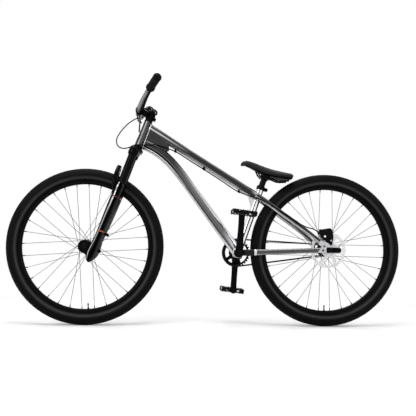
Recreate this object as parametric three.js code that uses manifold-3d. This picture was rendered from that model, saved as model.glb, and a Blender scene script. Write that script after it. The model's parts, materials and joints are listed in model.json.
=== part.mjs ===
// A dirt jump bicycle in millimetres. It points along -X, its left side is -Y and it stands on z = 0.
import * as THREE from "three";
import { mergeVertices } from "three/addons/utils/BufferGeometryUtils.js";
import Module from "manifold-3d";

const wasm = await Module();
wasm.setup();

// Driving dimensions
const wheelbase = 1052;
const tyre = {
  radius: 336,
  width: 57,
  beadRadius: 280.5,
  beadWidth: 22,
  shoulderRadius: 327,
  shoulderWidth: 36,
};
const rim = { innerRadius: 267, outerRadius: 280, width: 28, bedWidth: 12 };
const chainStayReach = 392;
const bracketHeight = 318;
const headAngle = THREE.MathUtils.degToRad(70.4);
const seatAngle = THREE.MathUtils.degToRad(71.2);
const axleOffset = 58.8;
const axleToHeadTube = 488;
const headTube = { length: 114.6, lowerRadius: 20, upperRadius: 17.5, waistRadius: 18.2 };
const clearance = 0.3;
const overrun = 3;

// Tubes of the frame: half widths across Y and half depths in the frame's plane
const downTube = { axisRise: 17, cornerReach: 116, bendLength: 182, halfWidth: 24, halfDepth: 23.5 };
const topTube = { headDrop: 21, seatDrop: 51, halfWidth: 20, halfDepth: 19.5, headHalfDepth: 21 };
const seatTube = { length: 311, radius: 15.6, setback: 2.4, boreDepth: 190 };
const gusset = { width: 12, reach: 34, drop: 44, headWidth: 30, headShare: 0.19 };
const bracketShell = { radius: 22, width: 73, boreRadius: 18.2 };
const bracketFlange = { width: 4, radius: 21 };
const dropoutSpacing = 135;
const dropout = { thickness: 6, frontReach: 26, rearReach: 46, rise: 26, fall: 15 };
const chainStay = { halfDepth: 10.5, halfWidth: 8.5 };
const seatStay = { frontHalfDepth: 12, rearHalfDepth: 8.5, halfWidth: 7.2 };

// Wheels
const wheelSides = 36;
const spoke = { radius: 1.15, count: 16, crossings: 3, hubRadius: 26, rimSpread: 3, stagger: 0.55 };
const flange = { radius: 29.5, thickness: 3, spread: 31 };
const hubShell = { radius: 15, frontWidth: 110, frontBore: 10.3, rearBore: 6.3, collarRadius: 20 };
const frontAxle = { radius: 10, headRadius: 13, headLength: 5 };
const rearAxle = { radius: 6, nutRadius: 10, nutLength: 9 };
const axleBlock = { thickness: 6, length: 62, height: 24, front: 12 };
const valve = { radius: 3, length: 23.5 };
const frontTurn = THREE.MathUtils.degToRad(3.9);
const rearTurn = THREE.MathUtils.degToRad(-0.65);
const rotor = { radius: 80, bandWidth: 14, thickness: 1.8, offset: 52.5, arms: 6, collarWidth: 6 };

// Drive
const chainPitch = 12.7;
const chainLine = 48;
const chainring = { teeth: 30, thickness: 3, toothHeight: 6.2, boreRadius: 27, windows: 5 };
const cog = { teeth: 12, thickness: 3, toothHeight: 6.2 };
const chain = { width: 7.6, depth: 8.4 };
const crank = { length: 170, tilt: 0.04, bossRadius: 18, endRadius: 14, thickness: 14, endOffset: 66.5 };
const spindleRadius = 12;
const pedal = { length: 104, width: 96, thickness: 15, axleRadius: 7, barrelRadius: 10.5, gap: 2, rail: 11 };
const nearPedalPitch = THREE.MathUtils.degToRad(7);
const farPedalPitch = THREE.MathUtils.degToRad(7);

// Fork, in the steering frame whose Z runs up the steering axis from axle level
const leg = { spacing: 130, offset: 9.5, topHeight: 305, topRadius: 21.5, lowRadius: 17, lowOffset: 15.5 };
const stanchion = { radius: 16.5, bottomHeight: 230 };
const forkTravel = 100;
const wiper = { height: 7, radius: 20 };
const crown = { socketBottom: 434, socketTop: 470, socketRadius: 21, centreBottom: 455, centreTop: 480 };
const steererRadius = 14.3;
const arch = { tyreGap: 28.5, forward: 46, halfDepth: 9.5, halfHeight: 8.5, footDrop: 20 };
const forkBoss = { radius: 28, thickness: 20 };

// Cockpit
const cup = { radius: 20.5, height: 7 };
const upperCup = { height: 8, radius: 18 };
const stem = { reach: 50.4, rise: 5, clampHeight: 38, steererRadius: 17.5, clampRadius: 20, clampWidth: 44 };
const stemBoss = { radius: 7, length: 26, offset: 22 };
const topCap = { radius: 16.5, height: 6 };
const bar = { halfWidth: 364, sweep: 41.2, rise: 82.9, clampRadius: 15.9, endRadius: 11.1 };
const grip = { length: 130, radius: 16.6, flangeRadius: 19, flangeWidth: 5, endWall: 3.5 };
const lever = {
  bodyRadius: 10.5,
  length: 54,
  gripGap: 15.5,
  clampWidth: 13,
  clampWall: 4,
  ahead: 22,
  below: 62,
};
const blade = { radius: 4.2, length: 92, width: 6.5, hookDrop: 30, behind: 7 };

// Seat
const seatPost = { radius: 13.6, insertion: 135, exposed: 33 };
const seatCollar = { radius: 19.6, height: 17, lugReach: 29, lugWidth: 18, boltRadius: 3 };
const boltHead = { radius: 4.5, length: 4 };
const saddle = { length: 228, noseHalfWidth: 19, drop: 45, tailReach: 120.9, clampGap: 2.9 };
const padDepth = 24;
const saddleBase = { depth: 7, inset: 5 };
const rail = { radius: 3.5, spread: 22, dip: 31 };
const saddleClamp = { length: 44, width: 58, depth: 17 };

// Brake
const hose = { radius: 2.6, sides: 8 };
const clip = { length: 9, radius: 5.2 };
const calliper = { width: 34, slot: 4.2, length: 60, depth: 30, angle: THREE.MathUtils.degToRad(100) };

// Frame points
const bracketX = wheelbase / 2 - chainStayReach;
const steeringAxis = new THREE.Vector3(Math.cos(headAngle), 0, Math.sin(headAngle));
const steeringRear = new THREE.Vector3(Math.sin(headAngle), 0, -Math.cos(headAngle));
const frontHub = new THREE.Vector3(-wheelbase / 2, 0, tyre.radius);
const rearHub = new THREE.Vector3(wheelbase / 2, 0, tyre.radius);
const steeringFoot = frontHub.clone().addScaledVector(steeringRear, axleOffset);
const bracket = new THREE.Vector3(bracketX, 0, bracketHeight);
const seatAxis = new THREE.Vector3(Math.cos(seatAngle), 0, Math.sin(seatAngle));
const seatFoot = bracket.clone().add(new THREE.Vector3(seatTube.setback, 0, 0));

// A point on the steering axis at a height from axle level, moved rearward square to the axis
const steeringPoint = (height, rearward = 0) =>
  steeringFoot.clone().addScaledVector(steeringAxis, height).addScaledVector(steeringRear, rearward);
const seatPoint = (height) => seatFoot.clone().addScaledVector(seatAxis, height);
const topTubeStart = steeringPoint(axleToHeadTube + headTube.length - topTube.headDrop);
const seatJoint = seatPoint(seatTube.length - topTube.seatDrop);
const stayEnd = rearHub.clone().add(new THREE.Vector3(-dropout.frontReach, 0, dropout.rise));
const dropoutFaceInner = dropoutSpacing / 2 + clearance;
const stayPlateMid = dropoutFaceInner + dropout.thickness / 2;

// A closed geometry as a solid with its faces turned out
function solid(geometry) {
  const bare = new THREE.BufferGeometry().setAttribute("position", geometry.getAttribute("position"));
  bare.setIndex(geometry.index);
  const merged = mergeVertices(bare);
  const index = merged.index.array;
  const kept = [];
  for (let i = 0; i < index.length; i += 3) {
    const [a, b, c] = [index[i], index[i + 1], index[i + 2]];
    if (a !== b && b !== c && c !== a) kept.push(a, b, c);
  }
  const build = (triVerts) =>
    new wasm.Manifold(
      new wasm.Mesh({ numProp: 3, vertProperties: merged.attributes.position.array, triVerts }),
    );
  const made = build(new Uint32Array(kept));
  return made.volume() > 0 ? made : build(new Uint32Array(kept.reverse()));
}

const join = (pieces) => pieces.reduce((whole, piece) => whole.add(piece));
const cut = (whole, pieces) => pieces.reduce((rest, piece) => rest.subtract(piece), whole);

function geometryOf(made) {
  const mesh = made.getMesh();
  const geometry = new THREE.BufferGeometry();
  geometry.setAttribute("position", new THREE.BufferAttribute(mesh.vertProperties.slice(), 3));
  geometry.setIndex(new THREE.BufferAttribute(mesh.triVerts.slice(), 1));
  geometry.computeVertexNormals();
  return geometry;
}

// A skin over rings of points, closed by a fan at each end, for rings that bulge outwards all round
function skin(rings) {
  const sides = rings[0].length;
  const points = rings.flat();
  const index = [];
  for (let r = 0; r + 1 < rings.length; r++)
    for (let s = 0; s < sides; s++) {
      const next = (s + 1) % sides;
      const [a, b, c, d] = [r * sides + s, r * sides + next, (r + 1) * sides + next, (r + 1) * sides + s];
      index.push(a, b, c, a, c, d);
    }
  const end = (rings.length - 1) * sides;
  for (let s = 1; s + 1 < sides; s++) index.push(0, s + 1, s, end, end + s, end + s + 1);
  const geometry = new THREE.BufferGeometry().setFromPoints(points);
  geometry.setIndex(index);
  return solid(geometry);
}

// A tube along stations { at, wide, deep }: half widths along the side direction and square to it
function sweep(stations, sides = 12, side = new THREE.Vector3(0, 1, 0), power = 2) {
  const last = stations.length - 1;
  return skin(
    stations.map(({ at, wide, deep = wide }, i) => {
      const before = stations[Math.max(i - 1, 0)].at;
      const along = stations[Math.min(i + 1, last)].at.clone().sub(before).normalize();
      const across = side.clone().addScaledVector(along, -side.dot(along)).normalize();
      const up = along.clone().cross(across);
      return Array.from({ length: sides }, (_, s) => {
        const turn = (2 * Math.PI * (s + 0.5)) / sides;
        const bulge = (value) => Math.sign(value) * Math.abs(value) ** (2 / power);
        return at
          .clone()
          .addScaledVector(across, wide * bulge(Math.cos(turn)))
          .addScaledVector(up, deep * bulge(Math.sin(turn)));
      });
    }),
  );
}

const vector = (x, y, z) => new THREE.Vector3(x, y, z);
const rod = (from, to, radius, sides = 12, side = undefined) =>
  sweep([{ at: from, wide: radius }, { at: to, wide: radius }], sides, side ?? sideFor(from, to));
// A direction that isn't parallel to the rod
const sideFor = (from, to) => {
  const along = to.clone().sub(from).normalize();
  return Math.abs(along.y) > Math.SQRT1_2 ? vector(1, 0, 0) : vector(0, 1, 0);
};

// A solid of revolution about Y through a centre, from a closed profile of [radius, y] pairs
function turned(profile, centre, sides = 32) {
  const points = [...profile, profile[0]].map(([radius, y]) => new THREE.Vector2(radius, y));
  return solid(new THREE.LatheGeometry(points, sides).translate(...centre.toArray()));
}

// A disc or a ring about Y between two values of Y
const disc = (centre, radius, low, high, sides = 16, bore = 0) =>
  bore > 0
    ? turned([[bore, low], [radius, low], [radius, high], [bore, high]], centre, sides)
    : solid(
        new THREE.CylinderGeometry(radius, radius, high - low, sides).translate(
          centre.x,
          (high + low) / 2,
          centre.z,
        ),
      );

// An outline of [x, z] pairs, extruded along Y between two values
function plate(outline, low, high, holes = []) {
  const shape = new THREE.Shape(outline.map(([x, z]) => new THREE.Vector2(x, z)));
  shape.holes = holes.map((hole) => new THREE.Path(hole.map(([x, z]) => new THREE.Vector2(x, z))));
  const geometry = new THREE.ExtrudeGeometry(shape, { depth: high - low, bevelEnabled: false, steps: 1 });
  return solid(geometry.rotateX(Math.PI / 2).translate(0, high, 0));
}

const block = (centre, length, width, height) =>
  solid(new THREE.BoxGeometry(length, width, height).translate(...centre.toArray()));

// An eight-sided cord through points, by the extruded section of a curve
function cord(points, radius, steps) {
  const curve = new THREE.CatmullRomCurve3(points);
  const section = new THREE.Shape(
    Array.from({ length: hose.sides }, (_, s) => {
      const turn = (2 * Math.PI * s) / hose.sides;
      return new THREE.Vector2(radius * Math.cos(turn), radius * Math.sin(turn));
    }),
  );
  return solid(new THREE.ExtrudeGeometry(section, { steps, extrudePath: curve, bevelEnabled: false }));
}

const finish = (colour, roughness, metalness) =>
  new THREE.MeshStandardMaterial({ color: colour, roughness, metalness });
const finishes = {
  frame: finish(0x8e9194, 0.25, 0.9),
  gloss: finish(0x101012, 0.2, 0.2),
  satin: finish(0x2c2d30, 0.45, 0.4),
  rubber: finish(0x1b1b1c, 0.75, 0),
  steel: finish(0xb9bcc0, 0.3, 1),
  chain: finish(0x4a4b4e, 0.4, 0.9),
  hose: finish(0x151516, 0.5, 0),
  saddle: finish(0x17171a, 0.55, 0),
};

const bicycle = new THREE.Group();
const steering = new THREE.Group();
steering.position.copy(steeringFoot);
steering.rotation.y = Math.PI / 2 - headAngle;
bicycle.add(steering);

function place(name, made, material, group = bicycle) {
  const mesh = new THREE.Mesh(geometryOf(made), material);
  mesh.name = name;
  group.add(mesh);
  return made;
}

// Frame

// The frame's front tubes as one solid, grown all round when a neighbour is to be cut by them
function frontTriangle(grow) {
  const headLow = steeringPoint(axleToHeadTube - grow);
  const headHigh = steeringPoint(axleToHeadTube + headTube.length + grow);
  const headMid = headLow.clone().lerp(headHigh, 0.5);
  const head = sweep(
    [
      { at: headLow, wide: headTube.lowerRadius + grow },
      { at: headMid, wide: headTube.waistRadius + grow },
      { at: headHigh, wide: headTube.upperRadius + grow },
    ],
    16,
  );
  const downStart = steeringPoint(axleToHeadTube + downTube.axisRise);
  const corner = steeringPoint(axleToHeadTube + downTube.axisRise, downTube.cornerReach);
  const toBracket = bracket.clone().sub(corner).normalize();
  const bendEnd = corner.clone().addScaledVector(toBracket, downTube.bendLength);
  const bend = new THREE.CubicBezierCurve3(
    downStart,
    downStart.clone().lerp(corner, 0.8),
    bendEnd.clone().lerp(corner, 0.8),
    bendEnd,
  );
  const bendSteps = 6;
  const down = sweep(
    [...bend.getPoints(bendSteps), bendEnd.clone().lerp(bracket, 0.5), bracket].map((at) => ({
      at,
      wide: downTube.halfWidth + grow,
      deep: downTube.halfDepth + grow,
    })),
    12,
    undefined,
    2.4,
  );
  const top = sweep(
    [
      { at: topTubeStart, wide: topTube.halfWidth + grow, deep: topTube.headHalfDepth + grow },
      {
        at: topTubeStart.clone().lerp(seatJoint, 0.3),
        wide: topTube.halfWidth + grow,
        deep: topTube.halfDepth + grow,
      },
      { at: seatJoint, wide: topTube.halfWidth + grow, deep: topTube.halfDepth + grow },
    ],
    12,
    undefined,
    2.3,
  );
  const seat = sweep(
    [
      { at: seatFoot, wide: seatTube.radius + grow },
      { at: seatPoint(seatTube.length + grow), wide: seatTube.radius + grow },
    ],
    16,
  );
  const shell = disc(
    bracket,
    bracketShell.radius + grow,
    -bracketShell.width / 2 - grow,
    bracketShell.width / 2 + grow,
    24,
  );
  return join([head, down, top, seat, shell]);
}

const steererBore = rod(
  steeringPoint(axleToHeadTube - headTube.length),
  steeringPoint(axleToHeadTube + 2 * headTube.length),
  steererRadius + 2 * clearance,
  16,
);
const cupSpace = rod(
  steeringPoint(axleToHeadTube - 2 * cup.height),
  steeringPoint(axleToHeadTube),
  cup.radius + 2 * clearance,
  16,
);
const seatBore = rod(
  seatPoint(seatTube.length - seatTube.boreDepth),
  seatPoint(seatTube.length + overrun),
  seatPost.radius + clearance,
  16,
);
const bracketBore = disc(
  bracket,
  bracketShell.boreRadius,
  -bracketShell.width / 2 - overrun,
  bracketShell.width / 2 + overrun,
);

// The web that ties the top tube to the seat tube below their joint
const gussetFoot = seatPoint(seatTube.length - topTube.seatDrop - gusset.drop);
const gussetWeb = plate(
  [
    [seatJoint.x, seatJoint.z],
    [seatJoint.x - gusset.reach, seatJoint.z + gusset.reach / 2],
    [seatJoint.x - gusset.reach, seatJoint.z],
    [gussetFoot.x - seatTube.radius, gussetFoot.z],
    [gussetFoot.x, gussetFoot.z],
  ],
  -gusset.width / 2,
  gusset.width / 2,
);

// The web that closes the corner between the top tube and the down tube behind the head tube
const headWebLow = steeringPoint(axleToHeadTube + downTube.axisRise);
const headWebCorner = steeringPoint(axleToHeadTube + downTube.axisRise, downTube.cornerReach);
const headWebHigh = topTubeStart.clone().lerp(seatJoint, gusset.headShare);
const headWeb = plate(
  [topTubeStart, headWebLow, headWebCorner, headWebHigh].map((at) => [at.x, at.z]),
  -gusset.headWidth / 2,
  gusset.headWidth / 2,
);
const webs = join([gussetWeb, headWeb]);
place(
  "front_triangle",
  cut(frontTriangle(0).add(webs), [steererBore, cupSpace, seatBore, bracketBore]),
  finishes.frame,
);
const frontTriangleSpace = frontTriangle(clearance).add(webs);

const bracketEnd = bracketShell.width / 2 + clearance;

// The calliper's outer block over the rotor's upper edge
const calliperCentre = rearHub
  .clone()
  .add(
    vector(rotor.radius * Math.cos(calliper.angle), -rotor.offset, rotor.radius * Math.sin(calliper.angle)),
  );
const calliperBlock = (grow) =>
  solid(
    new THREE.BoxGeometry(calliper.length + 2 * grow, calliper.width + 2 * grow, calliper.depth + 2 * grow)
      .rotateY(Math.PI / 2 - calliper.angle)
      .translate(...calliperCentre.toArray()),
  );

// One side's stays as a single solid with its dropout: side is -1 for the left and 1 for the right
function rearStays(side) {
  const faceY = dropoutFaceInner;
  // Each row: share of the way to the axle, then Y, half width and half depth as shares of the rear values
  const chainStayShares = [
    [0.055, 0.44, 0.66, 1.28],
    [0.1, 0.52, 0.66, 1.28],
    [0.16, 0.545, 0.62, 1.24],
    [0.235, 0.61, 0.9, 1.2],
    [0.5, 0.76, 1, 1.1],
    [0.83, 0.9, 0.95, 1.04],
    [0.94, 0.985, 0.55, 1.1],
  ];
  const lower = sweep(
    chainStayShares.map(([along, out, wide, deep]) => ({
      at: bracket.clone().lerp(rearHub, along).setY(side * out * stayPlateMid),
      wide: chainStay.halfWidth * wide,
      deep: chainStay.halfDepth * deep,
    })),
    10,
    undefined,
    2.3,
  );
  // Each row: share of the way to the dropout, Y, half width and depth as shares, and the bow upwards
  const seatStayShares = [
    [-0.03, 0.27, 0.9, 0.95, 0.3],
    [0.06, 0.37, 1, 1, 0.4],
    [0.17, 0.52, 1, 0.97, 0.5],
    [0.31, 0.61, 1, 0.93, 0.3],
    [0.6, 0.74, 1, 0.88, 0.6],
    [0.8, 0.85, 0.95, 0.78, 0.5],
    [1, 0.97, 0.6, 0.74, 0],
  ];
  const bow = seatStay.frontHalfDepth / 2;
  const upper = sweep(
    seatStayShares.map(([along, out, wide, deep, raise]) => ({
      at: seatJoint
        .clone()
        .lerp(stayEnd, along)
        .add(vector(0, side * out * stayPlateMid, bow * raise)),
      wide: seatStay.halfWidth * wide,
      deep: seatStay.frontHalfDepth * deep,
    })),
    10,
    undefined,
    2.3,
  );
  const { x, z } = rearHub;
  const outline = [
    [x - 2 * dropout.frontReach, z - chainStay.halfDepth],
    [x - dropout.frontReach / 2, z - dropout.fall],
    [x + dropout.rearReach, z - dropout.fall],
    [x + dropout.rearReach + dropout.fall / 3, z],
    [x + dropout.rearReach, z + dropout.fall],
    [x + dropout.frontReach / 3, z + dropout.rise],
    [x - dropout.frontReach / 2, z + dropout.rise + seatStay.rearHalfDepth],
    [x - 1.5 * dropout.frontReach, z + dropout.rise + 2 * seatStay.rearHalfDepth],
    [x - 1.9 * dropout.frontReach, z + dropout.rise],
    [x - 1.3 * dropout.frontReach, z + dropout.fall],
  ];
  const [low, high] = side < 0 ? [-faceY - dropout.thickness, -faceY] : [faceY, faceY + dropout.thickness];
  const hub = disc(rearHub, rearAxle.radius + clearance, low - overrun, high + overrun, 16);
  const pieces = [lower, upper, plate(outline, low, high)];
  const spaces = [hub, frontTriangleSpace, wheelSpace, bracketFlangeSpace];
  if (side < 0) {
    const mount = [
      [calliperCentre.x - calliper.length * 0.42, calliperCentre.z],
      [calliperCentre.x + calliper.length * 0.42, calliperCentre.z],
      [x + dropout.frontReach / 3, z + dropout.rise / 2],
      [x - 1.6 * dropout.frontReach, z + dropout.rise],
    ];
    pieces.push(plate(mount, low, high));
    spaces.push(calliperBlock(clearance));
  }
  return cut(join(pieces), spaces);
}

const bracketFlangeSpace = disc(
  bracket,
  bracketFlange.radius + clearance,
  -bracketEnd - bracketFlange.width - overrun,
  bracketEnd + bracketFlange.width + overrun,
);
const wheelSpace = turned(
  [
    [tyre.beadRadius, -tyre.width / 2 - 3 * overrun / 2],
    [tyre.radius + overrun, -tyre.width / 2 - 3 * overrun / 2],
    [tyre.radius + overrun, tyre.width / 2 + 3 * overrun / 2],
    [tyre.beadRadius, tyre.width / 2 + 3 * overrun / 2],
  ],
  rearHub,
  64,
);
for (const [name, side] of [["left", -1], ["right", 1]])
  place("rear_stays_" + name, rearStays(side), finishes.frame);

// Headset rings, bracket cartridge, seat collar and rear axle
const ringOn = (low, high, radius, bore) =>
  rod(steeringPoint(low), steeringPoint(high), radius, 16).subtract(
    rod(steeringPoint(low - overrun), steeringPoint(high + overrun), bore, 16),
  );
const headTop = axleToHeadTube + headTube.length;
place(
  "headset_lower_cup",
  ringOn(axleToHeadTube - cup.height, axleToHeadTube - clearance, cup.radius, steererRadius + clearance),
  finishes.gloss,
);
place(
  "headset_upper_cup",
  ringOn(headTop + clearance, headTop + upperCup.height, upperCup.radius, steererRadius + clearance),
  finishes.gloss,
);
place(
  "bottom_bracket",
  cut(
    join([
      disc(bracket, bracketShell.boreRadius - clearance, -bracketEnd, bracketEnd),
      disc(bracket, bracketFlange.radius, -bracketEnd - bracketFlange.width, -bracketEnd),
      disc(bracket, bracketFlange.radius, bracketEnd, bracketEnd + bracketFlange.width),
    ]),
    [disc(bracket, spindleRadius + clearance, -bracketEnd - 2 * overrun, bracketEnd + 2 * overrun)],
  ),
  finishes.gloss,
);

const collarLow = seatTube.length - seatCollar.height;
const collarRing = rod(seatPoint(collarLow), seatPoint(seatTube.length), seatCollar.radius, 16);
const seatRear = new THREE.Vector3(seatAxis.z, 0, -seatAxis.x);
const lugAt = (share, reach) =>
  seatPoint(collarLow + seatCollar.height * share).addScaledVector(seatRear, reach);
const lugOutline = [[0.05, 0], [0.05, 1], [0.95, 1], [0.95, 0]].map(([up, out]) => {
  const point = lugAt(up, seatCollar.lugReach * out);
  return [point.x, point.z];
});
const boltAt = lugAt(0.5, seatCollar.lugReach - seatCollar.height / 3);
place(
  "seat_clamp",
  cut(join([collarRing, plate(lugOutline, -seatCollar.lugWidth / 2, seatCollar.lugWidth / 2)]), [
    rod(
      seatPoint(collarLow - overrun),
      seatPoint(seatTube.length + overrun),
      seatTube.radius + clearance,
      16,
    ),
    disc(boltAt, seatCollar.boltRadius + clearance, -seatCollar.lugWidth, seatCollar.lugWidth, 12),
  ]),
  finishes.gloss,
);
const boltEnd = seatCollar.lugWidth / 2 + clearance;
place(
  "seat_clamp_bolt",
  join([
    disc(boltAt, seatCollar.boltRadius, -boltEnd, boltEnd, 12),
    disc(boltAt, boltHead.radius, -boltEnd - boltHead.length, -boltEnd, 12),
    disc(boltAt, boltHead.radius, boltEnd, boltEnd + boltHead.length, 12),
  ]),
  finishes.steel,
);

const dropoutFace = dropoutFaceInner + dropout.thickness;
const axleEnd = dropoutFace + clearance + axleBlock.thickness + clearance;
place(
  "rear_axle",
  join([
    disc(rearHub, rearAxle.radius, -axleEnd, axleEnd, 16),
    disc(rearHub, rearAxle.nutRadius, -axleEnd - rearAxle.nutLength, -axleEnd, 12),
    disc(rearHub, rearAxle.nutRadius, axleEnd, axleEnd + rearAxle.nutLength, 12),
  ]),
  finishes.steel,
);
for (const [name, side] of [["left", -1], ["right", 1]]) {
  const mid = side * (dropoutFace + clearance + axleBlock.thickness / 2);
  const centre = vector(rearHub.x + axleBlock.length / 2 - axleBlock.front, mid, rearHub.z);
  place(
    "axle_block_" + name,
    block(centre, axleBlock.length, axleBlock.thickness, axleBlock.height).subtract(
      disc(rearHub, rearAxle.radius + clearance, -2 * axleEnd, 2 * axleEnd, 16),
    ),
    finishes.gloss,
  );
}

// Wheels

// A wheel's tyre, rim, spokes, hub and valve about a centre, turned as the photograph shows it
function wheel(end, centre, hubProfile, turn) {
  const half = tyre.width / 2;
  const tyreSection = [
    [tyre.beadRadius, -tyre.beadWidth / 2],
    [(tyre.beadRadius + tyre.radius) / 2, -half],
    [tyre.shoulderRadius, -tyre.shoulderWidth / 2],
    [tyre.radius, 0],
    [tyre.shoulderRadius, tyre.shoulderWidth / 2],
    [(tyre.beadRadius + tyre.radius) / 2, half],
    [tyre.beadRadius, tyre.beadWidth / 2],
  ];
  place(end + "_tyre", turned(tyreSection, centre, wheelSides), finishes.rubber);
  const rimSection = [
    [rim.innerRadius, -rim.bedWidth / 2],
    [rim.outerRadius, -rim.width / 2],
    [rim.outerRadius, rim.width / 2],
    [rim.innerRadius, rim.bedWidth / 2],
  ];
  place(end + "_rim", turned(rimSection, centre, wheelSides), finishes.gloss);
  const down = vector(Math.sin(turn), 0, -Math.cos(turn));
  const valveFoot = rim.innerRadius * Math.cos(Math.PI / wheelSides) - clearance;
  const valveAt = (reach) => centre.clone().addScaledVector(down, reach);
  place(
    end + "_valve",
    rod(valveAt(valveFoot), valveAt(valveFoot - valve.length), valve.radius, 8),
    finishes.gloss,
  );
  for (const [name, side] of [["left", -1], ["right", 1]])
    place(end + "_spokes_" + name, spokes(centre, side, turn), finishes.steel);
  place(end + "_hub", turned(hubProfile, centre, 14), finishes.gloss);
}

// One side's crossed spokes, which meet where they cross
function spokes(centre, side, turn) {
  const spacing = (2 * Math.PI) / spoke.count;
  const lead = spoke.crossings * spacing;
  const reach = rim.innerRadius * Math.cos(Math.PI / wheelSides) - clearance;
  const start = flange.spread + clearance + 2 * spoke.radius + spoke.stagger;
  const shift = turn + (side * spacing) / 4;
  const at = (radius, angle, y) =>
    vector(centre.x + radius * Math.cos(angle), side * y, centre.z + radius * Math.sin(angle));
  const rods = [];
  for (let i = 0; i < spoke.count; i++) {
    const hubAngle = i * spacing + shift;
    const way = i % 2 === 0 ? 1 : -1;
    const inner = at(spoke.hubRadius, hubAngle, start + way * spoke.stagger);
    rods.push(rod(inner, at(reach, hubAngle + way * lead, spoke.rimSpread), spoke.radius, 3));
  }
  return join(rods);
}

const flangeInner = flange.spread - flange.thickness;
// A hub's outline from end to end, with a bore for its axle
const hubOutline = (halfWidth, bore) => [
  [bore, -halfWidth],
  [hubShell.collarRadius, -halfWidth],
  [hubShell.collarRadius, -flange.spread],
  [flange.radius, -flange.spread],
  [flange.radius, -flangeInner],
  [hubShell.radius, -flangeInner],
  [hubShell.radius, flangeInner],
  [flange.radius, flangeInner],
  [flange.radius, flange.spread],
  [hubShell.collarRadius, flange.spread],
  [hubShell.collarRadius, halfWidth],
  [bore, halfWidth],
];
wheel(
  "front",
  frontHub,
  hubOutline(hubShell.frontWidth / 2 - 2 * clearance, hubShell.frontBore),
  frontTurn,
);

const rotorInner = rotor.offset - rotor.thickness / 2;
const cogInner = chainLine - cog.thickness / 2;
const rearHubOutline = hubOutline(rotorInner - clearance, hubShell.rearBore).map(([radius, y]) => [
  radius,
  y > flange.spread ? cogInner - clearance : y,
]);
wheel("rear", rearHub, rearHubOutline, rearTurn);

// Points on a circle in the wheel's plane, from one share of a turn to another
const arcPoints = (centre, radius, from, to, steps) =>
  Array.from({ length: steps + 1 }, (_, i) => {
    const angle = 2 * Math.PI * (from + ((to - from) * i) / steps);
    return [centre.x + radius * Math.cos(angle), centre.z + radius * Math.sin(angle)];
  });

// The brake rotor, a disc with a window between its arms and a collar that reaches to the dropout
function brakeRotor() {
  const low = -rotor.offset - rotor.thickness / 2;
  const high = -rotor.offset + rotor.thickness / 2;
  const middle = hubShell.collarRadius + rotor.collarWidth;
  const windows = Array.from({ length: rotor.arms }, (_, i) => {
    const turn = (share) => (i + share) / rotor.arms;
    const outer = arcPoints(rearHub, rotor.radius - rotor.bandWidth, turn(0.1), turn(0.9), 3);
    const inner = arcPoints(rearHub, middle, turn(0.75), turn(0.25), 1);
    return [...outer, ...inner];
  });
  const edge = arcPoints(rearHub, rotor.radius, 0, 1, 36).slice(0, -1);
  const collarOuter = -dropoutSpacing / 2 + clearance;
  const collar = disc(rearHub, hubShell.collarRadius, collarOuter, low + rotor.thickness / 2, 16);
  return join([plate(edge, low, high, windows), collar]).subtract(
    disc(rearHub, hubShell.rearBore, -dropoutSpacing, 0, 16),
  );
}
place("rear_brake_rotor", brakeRotor(), finishes.steel);

// Drive

const pitchRadius = (teeth) => chainPitch / (2 * Math.sin(Math.PI / teeth));
const tipRadius = (wheelSpec) => pitchRadius(wheelSpec.teeth) + wheelSpec.toothHeight / 2;

// A toothed outline: each tooth's points are shares of its own angle and of its height
function toothed(spec, centre) {
  const tip = tipRadius(spec);
  const root = tip - spec.toothHeight;
  const toothShares = [[0, 0], [0.35, 1], [0.65, 1]];
  const points = [];
  for (let i = 0; i < spec.teeth; i++)
    for (const [share, up] of toothShares) {
      const angle = (2 * Math.PI * (i + share)) / spec.teeth;
      const radius = root + spec.toothHeight * up;
      points.push([centre.x + radius * Math.cos(angle), centre.z + radius * Math.sin(angle)]);
    }
  return points;
}

const ringOutline = toothed(chainring, bracket);
const windowShares = [[0.66, 0.12], [0.66, 0.88], [0.86, 0.84], [0.86, 0.16]];
const ringWindows = Array.from({ length: chainring.windows }, (_, i) =>
  windowShares.map(([out, turn]) => {
    const angle = (2 * Math.PI * (i + turn)) / chainring.windows;
    const radius = out * (tipRadius(chainring) - chainring.toothHeight);
    return [bracket.x + radius * Math.cos(angle), bracket.z + radius * Math.sin(angle)];
  }),
);
const ringLow = chainLine - chainring.thickness / 2;
const ringHigh = chainLine + chainring.thickness / 2;
place(
  "chainring",
  plate(ringOutline, ringLow, ringHigh, ringWindows).subtract(
    disc(bracket, chainring.boreRadius - crank.bossRadius / 2, ringLow - overrun, ringHigh + overrun, 16),
  ),
  finishes.gloss,
);
const cogHigh = dropoutSpacing / 2 - clearance;
place(
  "rear_cog",
  cut(
    join([
      plate(toothed(cog, rearHub), cogInner, cogInner + cog.thickness),
      disc(rearHub, hubShell.radius, cogInner + cog.thickness / 2, cogHigh, 16),
    ]),
    [disc(rearHub, rearAxle.radius + clearance, cogInner - overrun, cogHigh + overrun, 16)],
  ),
  finishes.steel,
);

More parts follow.
